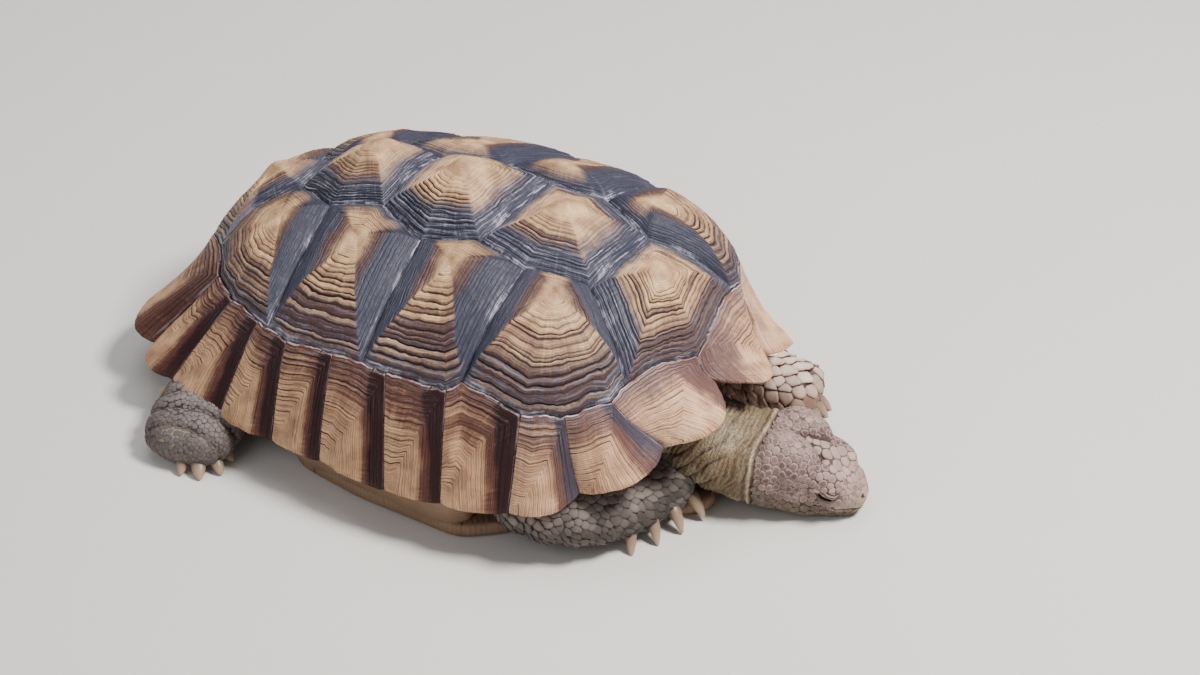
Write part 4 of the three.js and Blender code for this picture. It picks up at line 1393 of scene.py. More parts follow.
def surface_net(value: Array, axes: tuple[Array, Array, Array]) -> tuple[Array, Array]:
    """Closed surface where a lattice of values crosses zero.

    One point in each cell that the surface crosses, at the mean of the crossings on the cell's edges,
    and one quad round each lattice edge that it crosses.

    Args:
        value: Distances at the lattice points.
        axes: Lattice places along x, y and z.

    Returns:
        Points, and quads that all face the same way.
    """
    inside = value < 0
    shape = tuple(n - 1 for n in value.shape)
    window = [tuple(slice(c, c + n) for c, n in zip(corner, shape)) for corner in np.ndindex(2, 2, 2)]
    count = sum(inside[w].astype(np.int8) for w in window)
    cells = np.argwhere((count > 0) & (count < 8))
    number = np.full(shape, -1, dtype=np.int64)
    number[tuple(cells.T)] = np.arange(len(cells))
    offsets = np.array(list(np.ndindex(2, 2, 2)))
    at = cells[:, None] + offsets
    f = value[at[..., 0], at[..., 1], at[..., 2]]
    p = np.stack([axes[k][at[..., k]] for k in range(3)], axis=-1)
    total, hits = np.zeros((len(cells), 3)), np.zeros(len(cells))
    for a in range(8):
        for b in range(a + 1, 8):
            if np.abs(offsets[a] - offsets[b]).sum() != 1:
                continue
            crossed = (f[:, a] < 0) != (f[:, b] < 0)
            t = f[:, a] / np.where(crossed, f[:, a] - f[:, b], 1.0)
            total += np.where(crossed[:, None], p[:, a] + (p[:, b] - p[:, a]) * t[:, None], 0.0)
            hits += crossed
    quads = []
    for axis in range(3):
        low = np.moveaxis(inside, axis, 0)
        grid = np.moveaxis(number, axis, 0)
        crossed = low[:-1, 1:-1, 1:-1] != low[1:, 1:-1, 1:-1]
        i, j, k = np.nonzero(crossed)
        ring = np.stack([grid[i, j, k], grid[i, j + 1, k], grid[i, j + 1, k + 1], grid[i, j, k + 1]], axis=-1)
        turned = low[i, j + 1, k + 1] ^ (axis == 1)
        quads.append(np.where(turned[:, None], ring, ring[:, ::-1]))
    return total / hits[:, None], np.concatenate(quads)


@dataclass
class Skin:
    """The one skin over head, neck, legs, tail and trunk, with its folds."""

    flesh: Flesh
    points: Array = field(init=False)  # on the smooth skin
    owner: Array = field(init=False)  # number of the flesh part under each point, -1 for the trunk
    nostril: Three = (86.0, 5.4, 4.2)
    nostril_axis: Three = (0.82, 0.46, 0.34)

    def lattice(self) -> tuple[Array, Array, Array]:
        """Lattice places: close round the head, wide where the shell hides the body."""
        x = lattice_axis((-275, -190, 3), (-190, -80, 2.2), (-80, 84, 9), (84, 196, 2.1), (196, 336, 1.05))
        y = lattice_axis((-222, -84, 2.2), (-84, -24, 2.1), (-24, 92, 1.1), (92, 214, 2.2))
        z = lattice_axis((-3, 84, 1.15), (84, 192, 6))
        return x, y, z

    def field_values(self, axes: tuple[Array, Array, Array]) -> Array:
        """Distances at all lattice points, each part worked out only inside its own box."""
        grid = np.stack(np.meshgrid(*axes, indexing="ij"), axis=-1)
        total = self.flesh.trunk(grid)
        for part in self.flesh.parts():
            low, high = (part.centres - part.reach()).min(axis=0), (part.centres + part.reach()).max(axis=0)
            box = tuple(slice(*np.searchsorted(a, (low[k], high[k]))) for k, a in enumerate(axes))
            total[box] = soft_least(total[box], part.distance(grid[box]), part.join)
        return self.flesh.finish(total, grid)

    def border(self, local: Array, points: Array) -> Array:
        """Distance ahead of the line where the head's plates begin; the line leans forward at the throat."""
        return local[:, 0] - 1.0 - 0.27 * np.clip(20 - local[:, 2], 0, 50) + 1.6 * Grain(35, 20.0).at(points)

    def mouth(self, x: Array) -> Array:
        """Height of the mouth's line at places along the head: it falls back from the tip of the beak."""
        return -4.6 - 0.13 * np.clip(84.0 - x, 0, None)

    def to_nostril(self, local: Array) -> Array:
        """Distance of points in the head's axes from the nearer nostril's own axis, large away from it."""
        mirror = np.where(local[:, 1:2] > 0, (1, 1, 1), (1, -1, 1))
        d = local - np.array(self.nostril) * mirror
        along = (d * np.array(self.nostril_axis) * mirror).sum(axis=1)
        across = np.sqrt(np.maximum((d**2).sum(axis=1) - along**2, 0.0))
        return across + 3.0 * smooth_step(3.0, 6.0, np.abs(along))

    def folds(self, local: Array, zone: Array) -> tuple[Array, Array]:
        """Heights of wrinkles and folds, and the painted shade in their creases.

        Neck: sine ridges 3.9 mm apart across it, wavering with random fields, and oblique folds
        towards the shell. Head: a pale fold behind it, the mouth and the nostrils. The creases
        that the flesh draws in only get painted shade.

        Args:
            local: Skin points in the head's axes.
            zone: Shares of head, neck and legs at each point.

        Returns:
            Height above the smooth skin, and painted shade.
        """
        p, s = self.points, local[:, 0]
        head, neck, leg = zone.T
        warp = 4.0 * Grain(31, 22.0).at(p) + 1.6 * Grain(32, 7.0).at(p)
        fine = np.sin(2 * np.pi * (s + warp) / 3.9)
        bead = 0.7 + 0.9 * Grain(33, 5.0).at(p)
        height = neck * 0.55 * fine * bead
        # painted shade in the troughs of the fine wrinkles
        dark = neck * 0.5 * smooth_step(0.0, -0.95, fine) * np.clip(bead, 0, 1)
        slant = s * 0.75 - local[:, 2] * 0.5 + 4.0 * Grain(34, 26.0).at(p)
        deep = smooth_step(-4, -30, s) * neck
        fold = np.abs(((slant / 10.5) % 1.0) - 0.5) * 2
        height += deep * (0.7 * smooth_step(0.3, 0.8, fold) - 1.7 * smooth_step(0.3, 0.0, fold))
        # painted shade in the oblique folds
        dark += deep * 0.65 * smooth_step(0.25, 0.0, fold)
        edge = self.border(local, p)
        collar = np.clip(head + neck, 0, 1)
        height += collar * (bell(edge, -1.5, 1.5) - 1.1 * bell(edge, 1.6, 1.5) - 0.9 * bell(edge, -5.2, 1.8))
        # painted shade in the grooves beside the fold behind the head, lifted on its crest
        dark += collar * (
            0.75 * bell(edge, 1.5, 1.4) + 0.5 * bell(edge, -5.0, 1.6) - 0.5 * bell(edge, -1.5, 1.6))
        over = local[:, 2] - self.mouth(s)
        gape = bell(over, 0.0, 0.95) * smooth_step(56, 61, s) * head
        lip = smooth_step(0, 2.0, over) * smooth_step(5.0, 2.2, over) * smooth_step(62, 68, s) * head
        hole = self.to_nostril(local)
        height += 0.5 * lip - 1.7 * gape + 0.8 * bell(hole, 3.4, 1.1) - 2.8 * bell(hole, 0.0, 1.7)
        # painted shade in the mouth line, the nostrils and the flesh's own creases
        dark += 1.1 * gape + 1.6 * bell(hole, 0.0, 1.7) + 0.3 * self.flesh.creases(p)
        grit = 0.22 * Grain(37, 4.0).at(p) + 0.12 * Grain(38, 2.2).at(p)
        return height + grit * (0.4 + 0.9 * leg), np.clip(dark, 0, 1)

    def build(self) -> bpy.types.Object:
        """Builds the skin as one closed mesh."""
        axes = self.lattice()
        points, quads = surface_net(self.field_values(axes), axes)
        self.points, normals = self.flesh.settle(points)
        gaps = np.stack([part.distance(self.points) for part in self.flesh.parts()], axis=-1)
        self.owner = np.where(gaps.min(axis=1) < 3.0, gaps.argmin(axis=1), -1)
        local = HEAD.local(self.points)
        edge = self.border(local, self.points)
        border = smooth_step(-1.2, 1.2, edge)
        fore = ((self.owner == 0) | (self.owner == 1)).astype(float)
        zone = np.stack([fore * border, fore * (1 - border), self.owner > 1], axis=-1)
        height, dark = self.folds(local, zone)
        moved = self.points + normals * height[:, None]
        moved[:, 2] = np.maximum(moved[:, 2], 0.0)
        over = smooth_step(-1, 1, local[:, 2] - self.mouth(local[:, 0]))
        snout = smooth_step(70, 78, local[:, 0]) * over * zone[:, 0]
        # painted shade on skin that looks down, less on the snout
        downward_shade = smooth_step(0.2, -0.7, normals[:, 2]) * (1 - 0.6 * snout)
        crest = fore * bell(edge, -1.5, 1.1) * np.clip(0.6 + 0.6 * Grain(39, 7.0).at(self.points), 0, 1)
        surface = Surface()
        # the zone's alpha carries the painted shade of the folds
        surface.add(
            moved, zone=np.concatenate([zone, dark[:, None]], axis=1),
            tone=np.stack([snout, downward_shade, 0.8 * crest], axis=-1))
        surface.quads.append(quads)
        nodes = (
            "trunk", "neck", "head", "tail", "foreleg_left", "foreleg_right", "hindleg_left", "hindleg_right")
        return make_piece("skin", surface, SkinHide().make(), "body_skin", nodes)


# ---------------------------------------------------------------- scales, claws and eyes


def scatter(points: Array, spacing: Array, seed: int, most: int = 4200, rounds: int = 3) -> Array:
    """Spreads centres over a surface, about one spacing apart.

    Points drawn at random win their place when no nearer rival has a higher random number; then each
    centre moves to the mean of the points that are nearest to it.

    Args:
        points: Points of the surface.
        spacing: Wanted spacing at each point.
        seed: Seed of the draw.
        most: How many points are drawn.
        rounds: How often the centres move to their means.

    Returns:
        Centres, one per row.
    """
    rng = np.random.default_rng(seed)
    drawn = rng.permutation(len(points))[:most]
    p, s = points[drawn], spacing[drawn]
    square = (p**2).sum(axis=1)
    apart = np.sqrt(np.maximum(square[:, None] + square[None] - 2 * p @ p.T, 0))
    rival = apart < 0.86 * 0.5 * (s[:, None] + s[None])
    rank = rng.permutation(len(p)).astype(float)
    won, alive = np.zeros(len(p), dtype=bool), np.ones(len(p), dtype=bool)
    while alive.any():
        best = np.where(rival & alive[None], rank[None], -1.0).max(axis=1)
        new = alive & (rank >= best)
        won |= new
        alive &= ~(rival[:, new].any(axis=1))
    centres, size = p[won], s[won]
    for _ in range(rounds):
        gap = (centres**2).sum(axis=1)[None] + square[:, None] - 2 * p @ centres.T
        owner = (gap / size[None] ** 2).argmin(axis=1)
        share = np.bincount(owner, minlength=len(centres))
        mean = np.stack([np.bincount(owner, p[:, k], len(centres)) for k in range(3)], axis=1)
        centres = np.where(share[:, None] > 0, mean / np.maximum(share, 1)[:, None], centres)
    return centres


@dataclass
class Pavement:
    """Raised scales fitted edge to edge on the skin.

    Each scale fills the part of the skin nearest to its own centre: its reach in direction k is the
    least of half the gap to each neighbour over the cosine to it, with the corners rounded by a power mean.
    """

    name: str
    slot: str
    cell: tuple[float, float]  # corner of its part of the bake map, which is 0.3 wide
    height: float
    lean: float = 0.0  # rise of the far end over the scale's size
    stretch: float = 1.0
    cover: float = 1.05  # its size over the space it has
    depth: float = 0.8  # how far its root lies under the skin
    disc: float = 0.0014  # radius of a scale's patch on the bake map
    point: float = 0.0  # how far the far end is drawn out over the next scale
    power: float = 14.0  # sharpness of the corners
    directions: int = 10
    # share of the way out, of the height, and of the colours from rim to top, for each ring of points
    rings: tuple[float, ...] = (0.5, 0.84, 0.955, 1.0)
    profile: tuple[float, ...] = (0.97, 0.86, 0.5, -0.45)
    lifts: tuple[float, ...] = (0.92, 0.56, 0.18, 0.0)

    def cells(self, centres: Array, size: Array, e1: Array, e2: Array) -> tuple[Array, Array]:
        """Reach of every scale in every direction, and the directions' angles."""
        angle = np.linspace(0, 2 * np.pi, self.directions, endpoint=False)
        way = np.stack([np.cos(angle), np.sin(angle)], axis=-1)
        square = (centres**2).sum(axis=1)
        apart = square[:, None] + square[None] - 2 * centres @ centres.T
        np.fill_diagonal(apart, np.inf)
        near = np.argsort(apart, axis=1)[:, :12]
        d = centres[near] - centres[:, None]
        flat = np.stack([(d * e1[:, None]).sum(-1) / self.stretch, (d * e2[:, None]).sum(-1)], axis=-1)
        long = np.maximum(np.linalg.norm(flat, axis=-1), 1e-3)
        half = (long**2 + size[:, None] ** 2 / 4 - size[near] ** 2 / 4) / (2 * long)
        half = np.clip(half, 0.2 * size[:, None], None)
        cosine = np.maximum(flat @ way.T / long[..., None], 0.0)
        total = ((cosine / half[..., None]) ** self.power).sum(axis=1)
        total += (1 / (0.72 * size[:, None])) ** self.power
        return total ** (-1 / self.power) * (1 + self.point * np.maximum(way[:, 0], 0) ** 3), angle

    def build(
        self, flesh: Flesh, centres: Array, size: Array, ahead: Array, tone: Array,
        material: bpy.types.Material,
    ) -> bpy.types.Object:
        """Builds all scales as one mesh.

        Args:
            flesh: The field whose skin the scales lie on.
            centres: Their centres.
            size: Their widths.
            ahead: The way each scale points.
            tone: How pale each scale is, partly painted light, and how much soil and painted shade it takes,
                in two columns.
            material: Their finish.

        Returns:
            The piece.
        """
        centres, normal = flesh.settle(centres, 3)
        e1 = unit(ahead - normal * (ahead * normal).sum(-1, keepdims=True))
        e2 = np.cross(normal, e1)
        reach, angle = self.cells(centres, size, e1, e2)
        ring = np.array(self.rings)[None, :, None]
        rho = reach[:, None, :] * ring * self.cover
        along = (rho * np.cos(angle)) * self.stretch
        side = rho * np.sin(angle)
        flat = centres[:, None, None] + along[..., None] * e1[:, None, None]
        flat = flat + side[..., None] * e2[:, None, None]
        foot, up = flesh.settle(flat.reshape(-1, 3), 1)
        foot, up = foot.reshape(flat.shape), up.reshape(flat.shape)
        tall = self.height * np.minimum(size / 5.0, 1.6)
        rise = tall[:, None, None] * np.array(self.profile)[:, None]
        tilt = self.lean * along * (1 + 0.4 * (along > 0))
        points = foot + up * (rise + tilt)[..., None]
        top = centres + normal * tall[:, None]
        base = centres - normal * self.depth
        for array in (points, top, base):
            array[..., 2] = np.maximum(array[..., 2], 0.0)
        count = len(centres)
        chance = np.random.default_rng(count).random(count)

        def marks(lift: Array) -> Array:
            """Height share, random number, paleness and soil with painted shade of each scale's points."""
            shape = (count,) + (1,) * (lift.ndim - 1)
            own = (np.broadcast_to(v.reshape(shape), lift.shape) for v in (chance, *tone.T))
            return np.stack([lift, *own], axis=-1)

        surface = Surface()
        lifts = np.broadcast_to(np.array(self.lifts)[:, None], points.shape[:-1])
        body = surface.add(points, scale=marks(lifts))
        crown = surface.add(top, scale=marks(np.ones(count)))
        root = surface.add(base, scale=marks(np.zeros(count)))
        after = np.roll(body, -1, axis=2)
        quads = np.stack([body[:, :-1], body[:, 1:], after[:, 1:], after[:, :-1]], axis=-1)
        surface.quads.append(quads.reshape(-1, 4))
        for end, a, b in ((crown, body[:, 0], after[:, 0]), (root, after[:, -1], body[:, -1])):
            tris = np.stack([np.broadcast_to(end[:, None], a.shape), a, b], axis=-1)
            surface.tris.append(tris.reshape(-1, 3))
        patch = self.patches(centres, np.broadcast_to(ring, points.shape[:-1]), angle)
        return make_piece(self.name, surface, material, self.slot, turn_out=False, patch=patch)

    def patches(self, centres: Array, ring: Array, angle: Array) -> Array:
        """Bake map places: the centre's turn and height round its part, with a small disc for each scale."""
        middle = centres.mean(axis=0)
        d = centres - middle
        turn = np.arctan2(d[:, 1], d[:, 0]) / (2 * np.pi) + 0.5
        high = (centres[:, 2] - centres[:, 2].min()) / max(np.ptp(centres[:, 2]), 1e-6)
        root = np.array(self.cell) + 0.3 * np.stack([turn, high], axis=-1)
        disc = self.disc * np.stack([ring * np.cos(angle), ring * np.sin(angle)], axis=-1)
        return np.concatenate([(root[:, None, None] + disc).reshape(-1, 2), root, root])


@dataclass
class ScaleCoat:
    """Where the scales lie and how large they are: head plates, forelegs, hind legs and tail."""

    skin: Skin

    def head(self) -> None:
        """Irregular plates: small over the temples, large on the forehead, fine round eyes and nose."""
        skin, flesh = self.skin, self.skin.flesh
        local = HEAD.local(skin.points)
        x, y, z = local.T
        eye = np.array(flesh.eye) * np.where(y[:, None] > 0, (1, 1, 1), (1, -1, 1))
        to_eye = np.linalg.norm(local - eye, axis=1)
        over = z - skin.mouth(x)
        border = skin.border(local, skin.points)
        beak = (x > 75) & (z < 2.0) & (over > 0)
        chosen = (skin.owner < 2) & (skin.owner > -1) & (border > 2.6) & (skin.points[:, 2] > 1.5)
        chosen &= (to_eye > 10.2) & (skin.to_nostril(local) > 4.3)
        chosen &= ~beak & ~((np.abs(over) < 1.3) & (x > 56))
        (ax, ay), (bx, by) = flesh.groove
        crown = (z > 9) & (x > ax + 2) & (x < 67) & (np.abs(y) < ay + (x - ax) * (by - ay) / (bx - ax))
        size = np.full(len(x), 5.2)
        for place, wide in (
            (crown, 6.8 + 3.4 * np.exp(-((x - 56) ** 2 + y**2) / 90.0)),
            ((x > 67) & (z > 3), 4.2 + 2.6 * bell(y, 0.0, 6.0)),
            (to_eye < 15.0, 3.9), ((z < -12) & (x > 30), 6.4), (border < 6, 3.8),
        ):
            size = np.where(place, wide, size)
        points = skin.points[chosen]
        centres = scatter(points, size[chosen], 71)
        at = np.flatnonzero(chosen)[nearest(centres, points)]
        sx, _, sz = HEAD.local(centres).T
        pale = 0.1 + 0.08 * smooth_step(-8, 6, sz) + 0.4 * smooth_step(56, 76, sx) + 0.55 * crown[at]
        pale += 0.3 * Grain(72, 16.0).at(centres)
        pale += 0.45 * smooth_step(16, 11, to_eye[at]) * smooth_step(2, 8, sz)
        # earth colour towards the jaw is painted shade along with soil; beside the fold behind the head it is
        # the plates' own colour
        soil = 0.1 + 0.95 * smooth_step(-2, -13, sz + 3.0 * Grain(73, 14.0).at(centres))
        soil += 0.5 * smooth_step(9, 3, border[at])
        plates = Pavement(
            "head_plates", "head_skin", (0.02, 0.02), 0.72, cover=1.03, power=16.0, directions=14,
            rings=(0.45, 0.76, 0.94, 1.0), profile=(0.98, 0.9, 0.55, -0.5), lifts=(0.95, 0.6, 0.36, 0.0))
        ahead = np.broadcast_to(-HEAD.axes()[0], centres.shape)
        tone = np.clip(np.stack([pale, soil], axis=-1), 0, 1)
        plates.build(flesh, centres, size[at], ahead, tone, HEAD_PLATE.make())

    def limb(self, number: int, size: float, uneven: float, limit: Array) -> tuple[Array, Array, Array]:
        """Centres, widths and tones of the scales on one limb.

        Args:
            number: The limb's number among the parts of the flesh.
            size: Their mean width.
            uneven: Share by which the width varies from place to place.
            limit: Which points of the skin may carry scales.

        Returns:
            Centres, widths, and paleness with painted light and soil with painted shade, in two columns.
        """
        skin = self.skin
        chosen = (skin.owner == number) & limit & (skin.points[:, 2] > 1.6)
        points = skin.points[chosen]
        wanted = size * (1 + uneven * Grain(80 + number, 20.0).at(points))
        centres = scatter(points, wanted, 80 + number)
        wide = wanted[nearest(centres, points)] * (1 + 0.12 * Grain(85 + number, 3.0).at(centres))
        # painted light and shade: scales higher on the limb are paler, lower ones take more earth colour,
        # also soil
        high = smooth_step(24, 48, centres[:, 2])
        pale = 0.25 + 0.35 * Grain(90 + number, 22.0).at(centres) + 0.65 * high
        soil = 0.55 - 0.6 * high + 0.3 * Grain(95 + number, 18.0).at(centres)
        return centres, wide, np.clip(np.stack([pale, soil], axis=-1), 0, 1)

    def build(self) -> None:
        """Builds every coat piece."""
        x, y, _ = self.skin.points.T
        self.head()
        # near and far forelegs: copies of one horn in painted shade and in painted light
        near, far, hind = NEAR_FORELEG_SHADED.make(), FAR_FORELEG_LIT.make(), HINDLEG_SCALE.make()
        shingle = dict(lean=0.2, stretch=1.2, cover=1.1, point=0.25, directions=12)
        pebble = dict(lean=0.06, stretch=1.1)
        shown = DOME.share(self.skin.points[:, :2]) > 0.62
        # name, part of the flesh, width, unevenness, place, direction, part of the map, height, form, finish
        rows = (
            ("foreleg_scales_right", 3, 5.4, 0.4, shown, (0.8, 0.55, -0.35), (0.35, 0.02), 0.95,
             shingle, near),
            ("foreleg_scales_left", 4, 9.4, 0.35, x > 140, (0.9, 0.2, -0.4), (0.68, 0.02), 1.1, shingle, far),
            ("hindleg_scales_right", 5, 3.9, 0.4, y < -150, (-0.1, -0.9, -0.4), (0.02, 0.35), 0.4,
             pebble, hind),
            ("hindleg_scales_left", 6, 3.9, 0.4, y > 145, (-0.1, 0.9, -0.4), (0.35, 0.35), 0.4, pebble, hind),
            ("tail_scales", 2, 4.4, 0.3, x < -205, (-0.9, 0.1, -0.4), (0.68, 0.35), 0.7, shingle, hind),
        )
        for name, number, size, uneven, limit, way, cell, height, form, finish in rows:
            centres, wide, tone = self.limb(number, size, uneven, limit)
            ahead = np.broadcast_to(unit(np.array(way)), centres.shape)
            Pavement(name, "limb_skin", cell, height, **form).build(
                self.skin.flesh, centres, wide, ahead, tone, finish)


def nearest(a: Array, b: Array) -> Array:
    """For each row of a, the number of the nearest row of b."""
    return ((b**2).sum(axis=1)[None] - 2 * a @ b.T).argmin(axis=1)


@dataclass(frozen=True)
class Claws:
    """Blunt horn cones in a row on a foot, bent down towards the point.

    Point (t, k): base + heading * length * t, dropped by tan(tilt) * length * t + bend * t^2, plus a
    ring square to that curve of radius radius * (1 - t^2.2) ^ 0.62. The base is where the heading
    leaves the flesh.
    """

    count: int
    length: float
    radius: float
    start: Three  # inside the foot, behind the first claw
    stop: Three  # inside the foot, behind the last claw
    turn: tuple[float, float]  # headings of the first and the last, in degrees from +X
    tilt: float = 16.0
    bend: float = 4.0
    root: float = 3.0  # how deep the base sits in the flesh

    def bases(self, flesh: Flesh) -> tuple[Array, Array]:
        """Base and heading of each claw, found by steps outward from inside the foot."""
        share = np.linspace(0, 1, self.count)[:, None]
        inside = blend(np.array(self.start), np.array(self.stop), share)
        angle = np.radians(blend(self.turn[0], self.turn[1], share[:, 0]))
        out = np.stack([np.cos(angle), np.sin(angle), 0 * angle], axis=-1)
        steps = np.arange(0, 60, 0.5)
        beyond = flesh.distance(inside[:, None] + out[:, None] * steps[:, None]) > -self.root
        return inside + out * steps[beyond.argmax(axis=1)][:, None], out

    def add_to(self, surface: Surface, flesh: Flesh) -> None:
        """Adds the claws of one foot to a surface."""
        t = np.linspace(0, 1, 14)[:, None]
        turn = np.linspace(0, 2 * np.pi, 16, endpoint=False)[None]
        rng = np.random.default_rng(self.count)
        up = np.array([0.0, 0.0, 1.0])
        for base, out in zip(*self.bases(flesh)):
            size = 1 + 0.14 * rng.uniform(-1, 1)
            side = np.array([-out[1], out[0], 0.0])
            far = (self.length + self.root) * size
            fall = math.tan(math.radians(self.tilt)) * self.length
            lean = np.arctan2(fall + 2 * self.bend * t, far)[..., None]
            back = up * np.cos(lean) + out * np.sin(lean)
            r = self.radius * size * np.maximum(1 - t**2.2, 0.03) ** 0.62
            spine = base + out * far * t[..., None] - up * (fall * t + self.bend * t**2)[..., None]
            points = spine + side * (r * np.cos(turn) * 0.95)[..., None]
            points = points + back * (r * np.sin(turn) * 0.75)[..., None]
            points[..., 2] = np.maximum(points[..., 2], 0.05)
            claw = surface.add(points, scale=np.stack(np.broadcast_arrays(t, 0.5, 0.5 + 0 * turn), axis=-1))
            surface.grid(claw, closed=True)
            for row, order, far_end in ((0, 1, 0.0), (-1, -1, 1.0)):
                middle = points[row].mean(axis=0)[None]
                surface.cap(claw[row][::order], middle, scale=np.array([[far_end, 0.5, 0.5]]))


@dataclass
class Feet:
    """The claws of all four feet and the horn spurs on the thighs."""

    flesh: Flesh

    def build(self) -> None:
        """Builds one piece of claws for each foot and one of spurs for each thigh."""
        horn = ClawHorn().make()
        front, spur = dict(tilt=20.0), dict(tilt=8.0)
        rows = {
            "claws_foreleg_right": Claws(
                5, 12.0, 5.6, (190, -15, 20), (180, -60, 14), (6, -52), **front, bend=11.0),
            "claws_foreleg_left": Claws(
                5, 10.0, 5.4, (226, 130, 11), (226, 104, 11), (25, -25), **front, bend=8.0),
            "claws_hindleg_right": Claws(4, 9.0, 5.6, (-132, -174, 8), (-140, -190, 8), (-12, -62)),
            "claws_hindleg_left": Claws(4, 9.0, 5.6, (-140, 166, 8), (-148, 182, 8), (12, 62)),
            "thigh_spurs_right": Claws(3, 7.0, 4.6, (-150, -150, 30), (-154, -168, 16), (-150, -165), **spur),
            "thigh_spurs_left": Claws(3, 7.0, 4.6, (-155, 144, 30), (-159, 162, 16), (150, 165), **spur),
        }
        for name, claws in rows.items():
            surface = Surface()
            claws.add_to(surface, self.flesh)
            make_piece(name, surface, horn, "claw_horn")


@dataclass
class Eye:
    """A drowsy eye: a dark glossy ball behind two wrinkled lids that leave a narrow slit.

    Lid point (turn, lift): centre + radius * direction at that turn round the upright axis and that
    angle above the slit, with folds that run along the slit.
    """

    side: str
    sign: int
    centre: Three
    ball: float = 7.6
    lid: float = 9.2
    thick: float = 1.0
    corner: float = 42.0  # turn at which the lids meet
    opening: float = 19.0  # height of the slit, in degrees
    slit: float = -2.0  # its middle, in degrees above level

    def direction(self, turn: Array, rise: Array) -> Array:
        """Unit directions in the head's axes: turn from straight out, rise above level, in degrees."""
        a, b = np.broadcast_arrays(np.radians(turn), np.radians(rise))
        return np.stack([np.sin(a) * np.cos(b), self.sign * np.cos(a) * np.cos(b), np.sin(b)], axis=-1)

    def build(self, glass: bpy.types.Material, hide: bpy.types.Material) -> None:
        """Builds the ball and the two lids."""
        middle = np.array(self.centre) * (1, self.sign, 1)
        turn = np.linspace(-180, 180, 48, endpoint=False)[None]
        rise = np.linspace(-86, 86, 30)[:, None]
        surface = Surface()
        ball = surface.add(HEAD.out(middle + self.ball * self.direction(turn, rise)))
        surface.grid(ball, closed=True)
        for row, end in ((ball[0], -1), (ball[-1], 1)):
            surface.cap(row[::-end], HEAD.out(middle + self.ball * np.array([[0.0, 0.0, end]])))
        make_piece(f"eyeball_{self.side}", surface, glass, "eye", (f"eye_{self.side}",))
        for name, way in (("upper", 1), ("lower", -1)):
            self.build_lid(name, way, middle, hide)

    def build_lid(self, name: str, way: int, middle: Array, hide: bpy.types.Material) -> None:
        """Builds one lid as a closed shell from the slit to behind the rim of the socket."""
        turn = np.linspace(-84, 84, 64)[None]
        t = np.linspace(0, 1, 48)[:, None]
        gap = self.opening * np.sqrt(np.maximum(1 - (turn / self.corner) ** 2, 0.0))
        edge = self.slit + way * ((turn / self.corner) ** 2 + gap * (0.55 if way > 0 else 0.45) + 0.4)
        rise = edge + (way * 84 - edge) * t
        arc = np.abs(rise - edge)
        fold = 0.24 * np.sin(arc / 2.6 + 1.4 * np.sin(turn / 13)) * smooth_step(3, 12, arc)
        sunk = self.thick * np.exp(-arc / 3.0) - 0.5 * smooth_step(4, 30, arc) * (1 if way > 0 else 0.4)
        radius = np.concatenate([self.lid - sunk + fold, np.full_like(arc, self.ball + 0.12)])
        angles = np.concatenate([rise, rise[::-1]])
        points = HEAD.out(middle + radius[..., None] * self.direction(turn, angles))
        lift = np.concatenate([smooth_step(0, 8, arc), 0 * arc])
        high = 0.12 + (0.3 + 2.2 * np.concatenate([fold, fold])) * lift
        # painted light and shade: the upper lid paler, the lower lid darker with more earth colour
        pale = 0.7 if way > 0 else 0.3
        values = np.stack(np.broadcast_arrays(high, 0.5, pale, 0.9 - pale), axis=-1)
        surface = Surface()
        n = surface.add(points, scale=values)
        surface.grid(np.concatenate([n, n[:1]]))
        for column, order in ((0, -1), (-1, 1)):
            surface.cap(n[::order, column], points[:, column].mean(axis=0)[None], scale=values[:1, 0])
        make_piece(f"lid_{name}_{self.side}", surface, hide, "head_skin")


# ---------------------------------------------------------------- plastron


